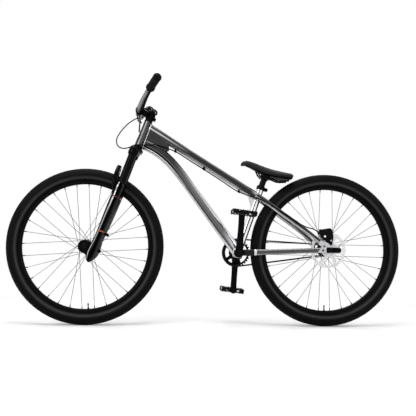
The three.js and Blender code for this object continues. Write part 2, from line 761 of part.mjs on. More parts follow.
// The chain as a band along its pitch line, hollowed where the teeth turn inside it
function chainBand() {
  const ringPitch = pitchRadius(chainring.teeth);
  const cogPitch = pitchRadius(cog.teeth);
  const line = rearHub.clone().sub(bracket);
  const base = Math.atan2(line.z, line.x);
  const spread = Math.acos((ringPitch - cogPitch) / line.length());
  const loop = (offset) => {
    const points = [];
    const arc = (centre, radius, from, to, steps) => {
      for (let i = 0; i <= steps; i++) {
        const angle = from + ((to - from) * i) / steps;
        points.push([
          centre.x + (radius + offset) * Math.cos(angle),
          centre.z + (radius + offset) * Math.sin(angle),
        ]);
      }
    };
    arc(bracket, ringPitch, base + spread, base + 2 * Math.PI - spread, 20);
    arc(rearHub, cogPitch, base - spread, base + spread, 10);
    return points;
  };
  const low = chainLine - chain.width / 2;
  const high = chainLine + chain.width / 2;
  const band = plate(loop(chain.depth / 2), low, high, [loop(-chain.depth / 2)]);
  const track = (spec, centre) =>
    disc(
      centre,
      tipRadius(spec) + clearance,
      chainLine - spec.thickness / 2 - clearance,
      chainLine + spec.thickness / 2 + clearance,
      2 * spec.teeth,
    );
  return cut(band, [track(chainring, bracket), track(cog, rearHub)]);
}
place("chain", chainBand(), finishes.chain);

// Cranks

const armTip = (side) =>
  bracket
    .clone()
    .add(vector(-side * crank.length * Math.sin(crank.tilt), 0, -side * crank.length * Math.cos(crank.tilt)));

function crankArm(side) {
  const tip = armTip(side);
  const boss = side < 0 ? bracketEnd + bracketFlange.width + overrun : ringHigh + clearance;
  const bossMid = boss + crank.thickness / 2;
  const tipMid = crank.endOffset + crank.thickness / 2;
  // Each row: share of the way out, share of the outward step in Y, half width and half thickness as shares
  const armShares = [[0, 0, 1, 1], [0.12, 0.1, 0.86, 0.92], [0.5, 0.6, 0.72, 0.75], [0.96, 1, 0.74, 0.85]];
  const stations = armShares.map(([out, step, wide, deep]) => ({
    at: bracket
      .clone()
      .lerp(tip, out)
      .setY(side * (bossMid + (tipMid - bossMid) * step)),
    wide: (crank.thickness / 2) * deep,
    deep: crank.bossRadius * wide,
  }));
  const ySpan = (mid) => [side * mid - crank.thickness / 2, side * mid + crank.thickness / 2];
  const pieces = [
    sweep(stations, 10, undefined, 3),
    disc(bracket, crank.bossRadius, ...ySpan(bossMid), 16),
    disc(tip, crank.endRadius, ...ySpan(tipMid), 16),
  ];
  if (side > 0)
    for (let i = 0; i < 4; i++) {
      const angle = (Math.PI * (2 * i + 1)) / 4;
      const reach = tipRadius(chainring) * 0.72;
      const end = bracket.clone().add(vector(reach * Math.cos(angle), 0, reach * Math.sin(angle)));
      const mid = boss + crank.thickness / 5;
      const spider = { wide: crank.thickness / 5, deep: crank.endRadius / 2 };
      pieces.push(
        sweep(
          [
            { at: bracket.clone().setY(mid), ...spider },
            { at: end.setY(mid), ...spider },
          ],
          8,
          undefined,
          4,
        ),
      );
    }
  const holeOuter = boss + crank.thickness + overrun;
  const holeLow = side < 0 ? -holeOuter : 0;
  const holeHigh = side < 0 ? 0 : holeOuter;
  return cut(join(pieces), [
    disc(bracket, spindleRadius + clearance, holeLow, holeHigh, 16),
    disc(
      tip,
      pedal.axleRadius + clearance,
      side * tipMid - crank.thickness,
      side * tipMid + crank.thickness,
      16,
    ),
  ]);
}
const leftArmOuter = bracketEnd + bracketFlange.width + overrun + crank.thickness;
place(
  "crank_spindle",
  disc(bracket, spindleRadius, -leftArmOuter, ringHigh + clearance + crank.thickness, 16),
  finishes.steel,
);

const pedalFace = crank.endOffset + crank.thickness;
for (const [name, side, pitch] of [["left", -1, nearPedalPitch], ["right", 1, farPedalPitch]]) {
  place("crank_arm_" + name, crankArm(side), finishes.gloss);
  const tip = armTip(side);
  const span = (inner, outer) => (side < 0 ? [-outer, -inner] : [inner, outer]);
  const bodyInner = pedalFace + pedal.gap;
  const bodyOuter = bodyInner + pedal.width;
  const axleOuter = bodyOuter - pedal.rail / 2;
  place(
    "pedal_axle_" + name,
    disc(tip, pedal.axleRadius, ...span(crank.endOffset, axleOuter), 16),
    finishes.steel,
  );
  const [low, high] = span(bodyInner, bodyOuter);
  const halfLength = pedal.length / 2;
  const corner = pedal.rail;
  const outline = [
    [-halfLength + corner, low],
    [halfLength - corner, low],
    [halfLength, low + corner],
    [halfLength, high - corner],
    [halfLength - corner, high],
    [-halfLength + corner, high],
    [-halfLength, high - corner],
    [-halfLength, low + corner],
  ];
  const shape = new THREE.Shape(outline.map(([x, y]) => new THREE.Vector2(x, y)));
  const windowLength = halfLength - pedal.barrelRadius - 2 * pedal.rail;
  const windowWidth = (pedal.width - 3 * pedal.rail) / 2;
  const tilted = (geometry) => solid(geometry.rotateY(pitch).translate(tip.x, 0, tip.z));
  const windows = [-1, 1].flatMap((end) =>
    [0, 1].map((row) => {
      const x = end * (pedal.barrelRadius + pedal.rail + windowLength / 2);
      const y = low + pedal.rail + row * (windowWidth + pedal.rail) + windowWidth / 2;
      return tilted(new THREE.BoxGeometry(windowLength, windowWidth, 2 * pedal.thickness).translate(x, y, 0));
    }),
  );
  const platform = cut(
    tilted(
      new THREE.ExtrudeGeometry(shape, { depth: pedal.thickness, bevelEnabled: false, steps: 1 }).translate(
        0,
        0,
        -pedal.thickness / 2,
      ),
    ),
    windows,
  );
  const [boreLow, boreHigh] = span(bodyInner - overrun, axleOuter + clearance);
  place(
    "pedal_" + name,
    join([platform, disc(tip, pedal.barrelRadius, low, high, 16)]).subtract(
      disc(tip, pedal.axleRadius + clearance, boreLow, boreHigh, 16),
    ),
    finishes.satin,
  );
}

// Fork, in the steering group: X is rearward, Z is up the steering axis

const inFork = (x, y, z) => vector(x, y, z);
const onLeg = (side, height, offset = leg.offset) => inFork(-offset, (side * leg.spacing) / 2, height);

// Rows that run from the left leg in to the middle and out to the right leg, each led by its side
const bothSides = (rows) => [
  ...rows.map((row) => [-1, ...row]),
  ...rows
    .slice(0, -1)
    .reverse()
    .map((row) => [1, ...row]),
];

function forkCrown() {
  const sockets = [-1, 1].map((side) =>
    sweep(
      [
        { at: onLeg(side, crown.socketBottom), wide: crown.socketRadius },
        { at: onLeg(side, crown.socketTop - overrun), wide: crown.socketRadius },
        { at: onLeg(side, crown.socketTop), wide: crown.socketRadius - overrun },
      ],
      14,
    ),
  );
  const middle = (crown.centreBottom + crown.centreTop) / 2;
  const halfHeight = (crown.centreTop - crown.centreBottom) / 2;
  // Each row: share of the way to the leg, drop and half depth and half height as shares
  const bridgeShares = [[1, 1, 0.8, 0.75], [0.6, 0.75, 0.95, 0.9], [0.3, 0.2, 1.15, 1], [0, 0, 1.25, 1]];
  const drop = middle - (crown.socketBottom + crown.socketTop) / 2;
  const bridge = sweep(
    bothSides(bridgeShares).map(([side, out, fall, deep, high]) => ({
      at: inFork(-leg.offset * out, (side * out * leg.spacing) / 2, middle - drop * fall),
      wide: crown.socketRadius * deep,
      deep: halfHeight * high,
    })),
    12,
    vector(1, 0, 0),
    3,
  );
  const steererTop = headTop + upperCup.height + stem.clampHeight;
  const steerer = rod(inFork(0, 0, middle), inFork(0, 0, steererTop), steererRadius, 16);
  return cut(join([...sockets, bridge, steerer]), [
    ...[-1, 1].map((side) =>
      rod(
        onLeg(side, crown.socketBottom - overrun),
        onLeg(side, stanchionTop + clearance),
        stanchion.radius + clearance,
        14,
      ),
    ),
  ]);
}
const stanchionTop = crown.socketTop - 2 * overrun;
place("fork_crown", forkCrown(), finishes.gloss, steering);
for (const [name, side] of [["left", -1], ["right", 1]]) {
  place(
    "stanchion_" + name,
    rod(onLeg(side, stanchion.bottomHeight), onLeg(side, stanchionTop), stanchion.radius, 14),
    finishes.gloss,
    steering,
  );
  place(
    "wiper_" + name,
    rod(
      onLeg(side, leg.topHeight + clearance),
      onLeg(side, leg.topHeight + wiper.height),
      wiper.radius,
      14,
    ).subtract(
      rod(
        onLeg(side, leg.topHeight),
        onLeg(side, leg.topHeight + 2 * wiper.height),
        stanchion.radius + clearance,
        14,
      ),
    ),
    finishes.rubber,
    steering,
  );
}

function forkLowers() {
  const pieces = [];
  for (const side of [-1, 1]) {
    // Each row: height as a share of the leg's top, share of the taper, and radius as a share of the taper
    const legShares = [[1, 0, 0], [0.43, 0.35, 0.42], [0.3, 0.55, 0.8], [0.16, 0.9, 1], [-0.12, 1.6, 1.05]];
    const stations = legShares.map(([up, lean, thin]) => ({
      at: onLeg(side, leg.topHeight * up, leg.offset + (leg.lowOffset - leg.offset) * lean),
      wide: leg.topRadius + (leg.lowRadius - leg.topRadius) * thin,
    }));
    const foot = stations[stations.length - 1].at.clone();
    const footRadius = leg.lowRadius;
    // Each row: forward and down as shares of the foot's radius, then the radius as a share
    const footShares = [[0.125, 0.5, 0.7], [0.2, 1, 0.45]];
    for (const [ahead, down, thin] of footShares)
      stations.push({
        at: foot.clone().add(inFork(-footRadius * ahead, 0, -footRadius * down)),
        wide: footRadius * thin,
      });
    pieces.push(sweep(stations, 14));
    const inner = hubShell.frontWidth / 2;
    const outer = inner + forkBoss.thickness;
    const [low, high] = side < 0 ? [-outer, -inner] : [inner, outer];
    pieces.push(disc(inFork(-axleOffset, 0, 0), forkBoss.radius, low, high, 24));
  }
  const archTop = tyre.radius + arch.tyreGap + arch.halfHeight;
  const archFoot = leg.topHeight - arch.footDrop;
  // Each row: share of the way out to the leg, height as a share of the climb, forward share
  const archShares = [
    [1, 0, 0.6],
    [0.97, 0.2, 0.86],
    [0.88, 0.45, 0.96],
    [0.7, 0.75, 1],
    [0.42, 0.95, 1],
    [0, 1, 1],
  ];
  pieces.push(
    sweep(
      bothSides(archShares).map(([side, out, climb, forward]) => ({
        at: inFork(
          -arch.forward * forward,
          (side * out * leg.spacing) / 2,
          archFoot + (archTop - archFoot) * climb,
        ),
        wide: arch.halfDepth,
        deep: arch.halfHeight,
      })),
      8,
      vector(1, 0, 0),
      3,
    ),
  );
  const boreBottom = stanchion.bottomHeight - forkTravel - overrun;
  return cut(join(pieces), [
    ...[-1, 1].map((side) =>
      rod(onLeg(side, boreBottom), onLeg(side, leg.topHeight + overrun), stanchion.radius + clearance, 14),
    ),
    ...[-1, 1].map((side) =>
      rod(
        onLeg(side, leg.topHeight),
        onLeg(side, leg.topHeight + 4 * wiper.height),
        wiper.radius + clearance,
        16,
      ),
    ),
    disc(inFork(-axleOffset, 0, 0), frontAxle.radius + clearance, -leg.spacing, leg.spacing, 16),
  ]);
}
place("fork_lowers", forkLowers(), finishes.gloss, steering);

const bossFace = hubShell.frontWidth / 2 + forkBoss.thickness + clearance;
const frontAxleAt = inFork(-axleOffset, 0, 0);
place(
  "front_axle",
  join([
    disc(frontAxleAt, frontAxle.radius, -bossFace, bossFace, 16),
    disc(frontAxleAt, frontAxle.headRadius, -bossFace - frontAxle.headLength, -bossFace, 16),
    disc(frontAxleAt, frontAxle.headRadius, bossFace, bossFace + frontAxle.headLength, 16),
  ]),
  finishes.gloss,
  steering,
);

// Stem and bar

const stemLow = headTop + upperCup.height + clearance;
const stemHigh = stemLow + stem.clampHeight;
const clampHeight = (stemLow + stemHigh) / 2 + stem.rise;
const clampAt = inFork(-stem.reach, 0, clampHeight);
const barRadiusShares = [[0, 0], [0.11, 0], [0.3, 0.4], [0.45, 0.85], [0.65, 1], [1, 1]];

// The bar's centre at a share of its half width, from its bends as shares of sweep and rise
function barPoint(side, out) {
  const bendShares = [
    [0, 0, 0],
    [0.12, 0, 0],
    [0.2, 0.05, 0.07],
    [0.3, 0.12, 0.27],
    [0.41, 0.23, 0.465],
    [0.54, 0.4, 0.676],
    [0.65, 0.54, 0.766],
    [0.8, 0.72, 0.865],
    [1.02, 1.02, 1.012],
  ];
  const upper = bendShares.findIndex(([at]) => at >= out);
  const [to, from] = [bendShares[upper], bendShares[Math.max(upper - 1, 0)]];
  const share = to[0] === from[0] ? 0 : (out - from[0]) / (to[0] - from[0]);
  const mixed = from.map((value, i) => value + (to[i] - value) * share);
  return clampAt
    .clone()
    .add(inFork(mixed[1] * bar.sweep, side * out * bar.halfWidth, mixed[2] * bar.rise));
}

function barRadius(out) {
  const upper = Math.max(barRadiusShares.findIndex(([at]) => at >= out), 1);
  const [to, from] = [barRadiusShares[upper], barRadiusShares[upper - 1]];
  const share = from[1] + ((to[1] - from[1]) * (out - from[0])) / (to[0] - from[0]);
  return bar.clampRadius + (bar.endRadius - bar.clampRadius) * share;
}

const barStops = [0.11, 0.16, 0.2, 0.3, 0.41, 0.54, 0.65, 0.8, 1];
function barSolid(grow) {
  const station = (side) => (out) => ({ at: barPoint(side, out), wide: barRadius(out) + grow });
  return sweep(
    [...barStops.slice().reverse().map(station(-1)), ...barStops.map(station(1))],
    10,
    vector(1, 0, 0),
  );
}
place("handlebar", barSolid(0), finishes.satin, steering);
const barSpace = barSolid(clearance);

for (const [name, side] of [["left", -1], ["right", 1]]) {
  const innerShare = 1 - grip.length / bar.halfWidth;
  const outerShare = 1 + grip.endWall / bar.halfWidth;
  const flangeShare = innerShare + grip.flangeWidth / bar.halfWidth;
  const stops = [
    [innerShare, grip.flangeRadius],
    [flangeShare, grip.flangeRadius],
    [flangeShare + grip.flangeWidth / 4 / bar.halfWidth, grip.radius],
    [0.82, grip.radius],
    [outerShare, grip.radius],
  ];
  const stations = stops.map(([out, wide]) => ({ at: barPoint(side, out), wide }));
  place("grip_" + name, sweep(stations, 14, vector(1, 0, 0)).subtract(barSpace), finishes.rubber, steering);
}

// The stem's block round the steerer and the bar, from which the faceplate is split
function stemBlock() {
  const steererClamp = rod(inFork(0, 0, stemLow), inFork(0, 0, stemHigh), stem.steererRadius, 16);
  const barClamp = disc(clampAt, stem.clampRadius, -stem.clampWidth / 2, stem.clampWidth / 2, 16);
  const neckMid = (stemLow + stemHigh) / 2;
  const neck = sweep(
    [
      { at: inFork(0, 0, neckMid), wide: stem.steererRadius * 0.85, deep: stem.clampHeight * 0.42 },
      { at: clampAt, wide: stem.clampWidth * 0.42, deep: stem.clampRadius * 0.72 },
    ],
    10,
    undefined,
    4,
  );
  const bossShares = [[0.26, 1], [0.8, 0.7]];
  const bosses = bossShares.map(([up, out]) =>
    disc(
      inFork(stemBoss.offset * out, 0, stemLow + stem.clampHeight * up),
      stemBoss.radius * out,
      -stemBoss.length / 2,
      stemBoss.length / 2,
      12,
    ),
  );
  return cut(join([steererClamp, barClamp, neck, ...bosses]), [
    rod(inFork(0, 0, stemLow - overrun), inFork(0, 0, stemHigh + overrun), steererRadius + clearance, 16),
    barSpace,
  ]);
}
const stemWhole = stemBlock();
const half = (direction) =>
  block(
    clampAt.clone().add(inFork(direction * (stem.reach + clearance / 2 + stem.steererRadius * 2), 0, 0)),
    2 * stem.reach + 4 * stem.steererRadius,
    2 * stem.clampWidth,
    4 * stem.clampHeight,
  );
place("stem", stemWhole.intersect(half(1)), finishes.gloss, steering);
place("stem_faceplate", stemWhole.intersect(half(-1)), finishes.gloss, steering);
place(
  "top_cap",
  rod(inFork(0, 0, stemHigh + clearance), inFork(0, 0, stemHigh + topCap.height), topCap.radius, 16),
  finishes.gloss,
  steering,
);

// Brake lever on the right of the bar
const leverMiddle = bar.halfWidth - grip.length - lever.gripGap - lever.clampWidth / 2;
const leverInner = leverMiddle - lever.length;
const leverShare = leverMiddle / bar.halfWidth;
const leverBar = barPoint(1, leverShare);
const leverCentre = leverBar.clone().add(inFork(-lever.ahead, 0, -lever.below));
const cylinder = disc(leverCentre, lever.bodyRadius, leverInner, leverMiddle + lever.clampWidth / 2, 12);
const clampHalf = lever.clampWidth / 2;
const clampRadius = barRadius(leverShare) + lever.clampWall;
const barBefore = barPoint(1, (leverMiddle - clampHalf) / bar.halfWidth);
const barAfter = barPoint(1, (leverMiddle + clampHalf) / bar.halfWidth);
const leverBody = cut(
  join([
    cylinder,
    rod(barBefore, barAfter, clampRadius, 12),
    sweep(
      [
        { at: leverBar, wide: clampHalf * 0.8, deep: clampRadius * 0.7 },
        { at: leverCentre, wide: clampHalf * 0.9, deep: lever.bodyRadius * 0.8 },
      ],
      10,
      undefined,
      4,
    ),
  ]),
  [barSpace],
);
place("brake_lever_body", leverBody, finishes.gloss, steering);

const bladeStart = leverCentre
  .clone()
  .setY(leverMiddle + clampHalf + blade.radius / 2)
  .add(inFork(blade.behind, 0, -blade.radius));
const bladeShares = [[0, 0, 0], [0.25, -0.06, 0.12], [0.55, 0.02, 0.45], [0.8, 0.1, 0.8], [1, 0.16, 1]];
// The pivot's nose reaches to within a clearance of the body
const bladeNose = {
  at: bladeStart.clone().add(inFork(0, clearance - blade.radius / 2, 0)),
  wide: blade.radius / 4,
};
const bladeRows = bladeShares.map(([out, back, drop]) => ({
  at: bladeStart.clone().add(inFork(back * blade.hookDrop, out * blade.length, -drop * blade.hookDrop)),
  wide: blade.radius,
  deep: blade.width,
}));
place(
  "brake_lever_blade",
  sweep([bladeNose, ...bladeRows], 10, vector(1, 0, 0)),
  finishes.satin,
  steering,
);

// Brake hose: the free loop from the lever to the frame, then the run along the frame to the calliper

// Rows: share of a tube's length, then side and drop from its middle line as shares of its width and depth
const topRunShares = [
  [0.1644, -1.3, 2.217],
  [0.2572, -1.1, 1.692],
  [0.3863, -0.9, 1.603],
  [0.5134, -0.75, 1.545],
  [0.6748, -0.7, 1.574],
  [0.8261, -0.85, 1.605],
  [0.8887, -1.1, 1.258],
  [0.9492, -1.5, 0.84],
];
const stayRunShares = [
  [0.0243, -0.5791, 0.601],
  [0.1995, -0.7345, -0.182],
  [0.3889, -0.8475, -0.623],
  [0.5747, -0.9322, -0.836],
  [0.732, -0.9887, -1.485],
  [0.8499, -0.9322, -2.805],
  [0.9296, -0.8475, -3.022],
];
const runOver = (from, to, rows, width, depth) =>
  rows.map(([along, side, drop]) => from.clone().lerp(to, along).add(vector(0, side * width, -drop * depth)));
const runPoints = [
  ...runOver(topTubeStart, seatJoint, topRunShares, topTube.halfWidth, topTube.halfDepth),
  ...runOver(seatJoint, stayEnd, stayRunShares, stayPlateMid, seatStay.frontHalfDepth),
];
const run = cord(runPoints, hose.radius, 48);

// Rows: shares of the way from the lever's inner end to the start of the run, in X, Y and Z
const loopShares = [
  [0, 0, 0],
  [0, 0.0528, 0],
  [-0.102, 0.0991, 0.0316],
  [-0.2321, 0.1181, 0.0918],
  [-0.3883, 0.1399, 0.1773],
  [-0.6052, 0.2488, 0.3641],
  [-0.7614, 0.3685, 0.5541],
  [-0.8482, 0.521, 0.7505],
  [-0.7961, 0.6625, 0.9278],
  [-0.5966, 0.8258, 1.0355],
  [-0.3363, 0.9456, 1.0228],
  [-0.1801, 1.0054, 0.9721],
  [-0.0326, 1.0327, 0.9595],
  [0.141, 1.0435, 0.9595],
  [0.3926, 1.0327, 0.95],
  [0.6963, 1.0163, 0.9468],
  [0.9913, 1, 0.9975],
];
const leverPort = steeringPoint(leverCentre.z, leverCentre.x).setY(leverInner - clearance);
const loopSpan = runPoints[0].clone().sub(leverPort);
const loopPoints = loopShares.map((row) => leverPort.clone().add(vector(...row).multiply(loopSpan)));
const loop = cord(loopPoints, hose.radius, 44);

place("brake_hose", run, finishes.hose);
place("brake_hose_loop", loop, finishes.hose);

// Clips that hold the hose under the top tube
for (const [i, at] of [[1, 1], [2, 3], [3, 5]]) {
  const centre = runPoints[at];
  const along = runPoints[at + 1].clone().sub(runPoints[at - 1]).normalize();
  const from = centre.clone().addScaledVector(along, -clip.length / 2);
  const to = centre.clone().addScaledVector(along, clip.length / 2);
  const lift = vector(0, 0, clip.radius * 1.6);
  const band = join([
    rod(from, to, clip.radius, 8),
    rod(from.clone().add(lift), to.clone().add(lift), clip.radius * 0.8, 8),
  ]);
  place(
    "hose_clip_" + i,
    cut(band, [
      rod(centre.clone().lerp(from, 2), centre.clone().lerp(to, 2), hose.radius + 3 * clearance, 8),
      frontTriangleSpace,
    ]),
    finishes.hose,
  );
}

// The calliper over the rotor's upper front edge
function brakeCalliper() {
  const slotRadius = rotor.radius + overrun;
  const [low, high] = [-rotor.offset - calliper.slot / 2, -rotor.offset + calliper.slot / 2];
  return calliperBlock(0).subtract(disc(rearHub, slotRadius, low, high, 40));
}
place("brake_calliper", brakeCalliper(), finishes.gloss);

// Seat post and saddle

const postTop = seatTube.length + seatPost.exposed;
place(
  "seatpost",
  rod(seatPoint(seatTube.length - seatPost.insertion), seatPoint(postTop), seatPost.radius, 16),
  finishes.satin,
);

const fullPadShare = 1.12;
// The saddle's rows: share of the length from the nose, top as a share of the drop, half width, and pad depth
const saddleShares = [
  [0, 0.22, 0.15, 0.25],
  [0.03, 0.02, 0.6, 0.5],
  [0.11, -0.26, 0.9, 0.85],
  [0.25, -0.12, 1.1, 1.05],
  [0.42, 0.2, 1.5, fullPadShare],
  [0.6, 0.5, 2.3, fullPadShare],
  [0.78, 0.72, 3.2, fullPadShare],
  [0.92, 0.86, 3.5, 1.08],
  [0.985, 0.97, 2.9, 0.8],
  [1, 1.05, 2.2, 0.4],
];
const clampMid = seatPoint(postTop + saddleClamp.depth / 2 + clearance);
const clampFallShare = 0.35;
const noseHeight =
  clampMid.z +
  saddleClamp.depth / 2 +
  saddle.clampGap +
  saddleBase.depth +
  padDepth * fullPadShare +
  saddle.drop * clampFallShare;
const saddlePoint = (along, fall) =>
  vector(
    clampMid.x + saddle.tailReach - saddle.length * (1 - along),
    0,
    noseHeight - saddle.drop * fall,
  );
// A row's half outline across the saddle as shares: side, and height from bottom (0) to crown (1)
const padSectionShares = [
  [0, 1],
  [0.35, 0.97],
  [0.68, 0.86],
  [0.92, 0.64],
  [1, 0.38],
  [0.93, 0.1],
  [0.78, 0],
  [0, 0],
];

function padRing(at, halfWidth, depth) {
  const sideways = padSectionShares.map(([out, up]) => [out * halfWidth, (up - 1) * depth]);
  const mirrored = sideways.slice(1, -1).reverse().map(([out, up]) => [-out, up]);
  return [...sideways, ...mirrored].map(([out, up]) => at.clone().add(vector(0, out, up)));
}
const padRings = saddleShares.map(([along, fall, wide, deep]) =>
  padRing(saddlePoint(along, fall), saddle.noseHalfWidth * wide, padDepth * deep),
);
place("saddle_pad", skin(padRings), finishes.saddle);

const baseRings = saddleShares.slice(2, -1).map(([along, fall, wide, deep]) => {
  const top = saddlePoint(along, fall).add(vector(0, 0, -padDepth * deep - clearance));
  return padRing(top, saddle.noseHalfWidth * wide - saddleBase.inset, saddleBase.depth);
});
// The base's top is flat so that the pad sits on it
const flatTop = baseRings.map((ring) => {
  const high = ring[0].z;
  return ring.map((point, i) => (i <= 3 || i >= ring.length - 3 ? point.clone().setZ(high) : point));
});
const basePiece = skin(flatTop);
place("saddle_base", basePiece, finishes.gloss);

// Rails in one bent rod: from the tail, along both sides of the post and together under the nose
function railSolid(grow) {
  const under = saddleBase.depth + 2 * clearance + rail.radius;
  const tail = saddlePoint(0.92, 0.86).add(vector(0, 0, -padDepth * 1.08 - under));
  const nose = saddlePoint(0.25, -0.12).add(vector(0, 0, -padDepth * 1.05 - under));
  const sideRun = (side) => [
    tail.clone().setY(side * rail.spread * 1.6),
    clampMid.clone().add(vector(saddleClamp.length * 1.25, side * rail.spread, -rail.dip / 2)),
    clampMid.clone().add(vector(saddleClamp.length * 0.8, side * rail.spread, -rail.dip / 4)),
    clampMid.clone().add(vector(-saddleClamp.length * 0.8, side * rail.spread, rail.dip / 4)),
    nose.clone().setY(side * rail.spread * 0.5),
  ];
  const left = sideRun(-1);
  const right = sideRun(1).reverse();
  const tip = nose.clone().add(vector(-rail.spread / 2, 0, rail.radius));
  const path = [...left, tip, ...right];
  return sweep(
    path.map((at) => ({ at, wide: rail.radius + grow })),
    8,
    vector(0, 0, 1),
  );
}
place("saddle_rails", railSolid(0), finishes.satin);
const clampBody = solid(
  new THREE.BoxGeometry(saddleClamp.length, saddleClamp.width, saddleClamp.depth)
    .rotateY(Math.atan2(rail.dip / 2, saddleClamp.length * 1.6))
    .translate(...clampMid.toArray()),
);
place(
  "saddle_clamp",
  cut(clampBody, [
    railSolid(clearance),
    rod(seatPoint(seatTube.length), seatPoint(postTop + clearance), seatPost.radius + clearance, 16),
  ]),
  finishes.satin,
);

export default bicycle;
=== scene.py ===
import json

import bmesh
import bpy
import numpy as np
from mathutils import Matrix
from mathutils.geometry import tessellate_polygon

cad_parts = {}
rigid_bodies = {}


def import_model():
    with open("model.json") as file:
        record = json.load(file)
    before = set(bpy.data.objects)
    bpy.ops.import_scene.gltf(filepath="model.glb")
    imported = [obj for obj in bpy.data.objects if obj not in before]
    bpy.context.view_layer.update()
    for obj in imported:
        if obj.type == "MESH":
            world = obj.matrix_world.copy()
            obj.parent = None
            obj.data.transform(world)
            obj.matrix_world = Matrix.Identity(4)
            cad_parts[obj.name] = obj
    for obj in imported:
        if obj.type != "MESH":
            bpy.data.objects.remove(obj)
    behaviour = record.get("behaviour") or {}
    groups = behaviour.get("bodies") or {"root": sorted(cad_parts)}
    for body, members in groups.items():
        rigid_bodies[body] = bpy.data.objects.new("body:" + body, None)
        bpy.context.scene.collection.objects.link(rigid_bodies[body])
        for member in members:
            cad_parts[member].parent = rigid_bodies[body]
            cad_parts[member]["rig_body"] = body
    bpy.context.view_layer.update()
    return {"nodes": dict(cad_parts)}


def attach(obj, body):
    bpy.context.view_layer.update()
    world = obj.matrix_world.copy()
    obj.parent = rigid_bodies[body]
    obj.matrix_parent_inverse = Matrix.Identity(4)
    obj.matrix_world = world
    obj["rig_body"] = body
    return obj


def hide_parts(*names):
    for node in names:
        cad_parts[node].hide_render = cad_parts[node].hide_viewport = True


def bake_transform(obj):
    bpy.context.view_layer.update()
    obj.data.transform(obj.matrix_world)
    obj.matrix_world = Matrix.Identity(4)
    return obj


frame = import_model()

print("frame loaded with", len(frame["nodes"]), "nodes")

# Every length below is in millimetres until a mesh is made, and X points to the rear, -Y to the left.
millimetre = 0.001


# ---- camera, floor and light

viewer = {"place": (-280.5, -3006.7, 345.2), "yaw": 5.34, "pitch": 3.17, "roll": 0.92, "lens": 59.6, "film": 36}


# The view turns from +Y by yaw about the vertical, is lifted by pitch and rolled about its own direction
def aimCamera(v):
    yaw, pitch, roll = np.radians([v["yaw"], v["pitch"], v["roll"]])
    ahead = np.array([np.sin(yaw) * np.cos(pitch), np.cos(yaw) * np.cos(pitch), np.sin(pitch)])
    right = np.array([np.cos(yaw), -np.sin(yaw), 0])
    up = np.cross(right, ahead)
    right, up = np.cos(roll) * right + np.sin(roll) * up, np.cos(roll) * up - np.sin(roll) * right
    camera = bpy.data.objects.new("camera", bpy.data.cameras.new("camera"))
    place = np.array(v["place"]) * millimetre
    camera.matrix_world = Matrix([[right[i], up[i], -ahead[i], place[i]] for i in range(3)] + [[0, 0, 0, 1]])
    camera.data.sensor_width = v["film"]
    camera.data.lens = v["lens"]
    bpy.context.scene.collection.objects.link(camera)
    bpy.context.scene.camera = camera


aimCamera(viewer)
bpy.context.scene.view_settings.view_transform = "Standard"

studio = {
    "worldLight": 0.55,
    "aim": (0, 0, 0.45),  # the lamps point here, in metres
    "lamps": [  # name, place in metres, size in metres, watts
        ("overhead", (-0.3, -0.6, 3.2), 2.6, 70),
        ("frontLeft", (-2.6, -2.6, 2.0), 1.6, 45),
        ("rearLeft", (2.8, -2.0, 1.6), 1.4, 26),
        ("behind", (0.4, 2.8, 1.9), 1.8, 30),
    ],
    "floorNear": 1.25,
    "floorFar": 2.3,
    "floorColour": 0.8,
    "floorGlow": 0.04,
}


# ---- meshes from arrays

# Steering frame: x is square to the steering axis towards the rear, z runs up the axis from axle level
steering = {"foot": (-470.61, 0, 316.28), "axis": (0.33545, 0, 0.94206), "rear": (0.94206, 0, -0.33545)}
seatLine = {"foot": (136.4, 0, 318), "axis": (0.32227, 0, 0.94665), "rear": (0.94665, 0, -0.32227)}
sides = {"left": -1, "right": 1}


# A point of a leaning line's own frame: the foot plus x of the rear direction, y to the side and z of the axis
def inLine(line, points):
    p = np.asarray(points, float)
    place = np.array(line["foot"]) + p[..., :1] * line["rear"] + p[..., 2:3] * line["axis"]
    return np.concatenate([place + p[..., 1:2] * np.array([0, 1, 0]), p[..., 3:]], axis=-1)


# The same in the steering frame
def inFork(points):
    return inLine(steering, points)


# The same on the seat tube's line
def onSeat(points):
    return inLine(seatLine, points)


# A patch with its points moved by a function
def carry(patch, move):
    return move(patch[0]), patch[1], patch[2]


# Patches made about the origin, leaned about Y by an angle and set at a place
def tilted(patches, lean, place):
    turnUp = np.array([[np.cos(lean), 0, np.sin(lean)], [0, 1, 0], [-np.sin(lean), 0, np.cos(lean)]])
    return [(points @ turnUp.T + place, faces, uv) for points, faces, uv in patches]


# Two distances from the middle plane on one side, the lower Y first
def span(side, near, far):
    return sorted((side * near, side * far))


# Half a profile and the same radii at the opposite reaches
def mirrored(profile):
    return profile + [(r, -y) for r, y in profile[::-1] if y]


# A vector divided by its own length
def unit(v):
    return v / np.maximum(np.linalg.norm(v, axis=-1, keepdims=True), 1e-9)


# Rows of points become a smooth path: between two rows a cubic whose slopes are those of the neighbours' chords
def smoothPath(rows, count):
    rows = np.asarray(rows, float)
    reach = np.concatenate([[0], np.cumsum(np.linalg.norm(np.diff(rows[:, :3], axis=0), axis=1))])
    slope = np.gradient(rows, reach, axis=0) if len(rows) > 2 else np.tile((rows[1] - rows[0]) / reach[1], (2, 1))
    at = np.linspace(0, reach[-1], count)
    k = np.clip(np.searchsorted(reach, at, side="right") - 1, 0, len(rows) - 2)
    gap = (reach[k + 1] - reach[k])[:, None]
    t = (at[:, None] - reach[k][:, None]) / gap
    start = (2 * t**3 - 3 * t**2 + 1) * rows[k] + (t**3 - 2 * t**2 + t) * gap * slope[k]
    return start + (3 * t**2 - 2 * t**3) * rows[k + 1] + (t**3 - t**2) * gap * slope[k + 1]


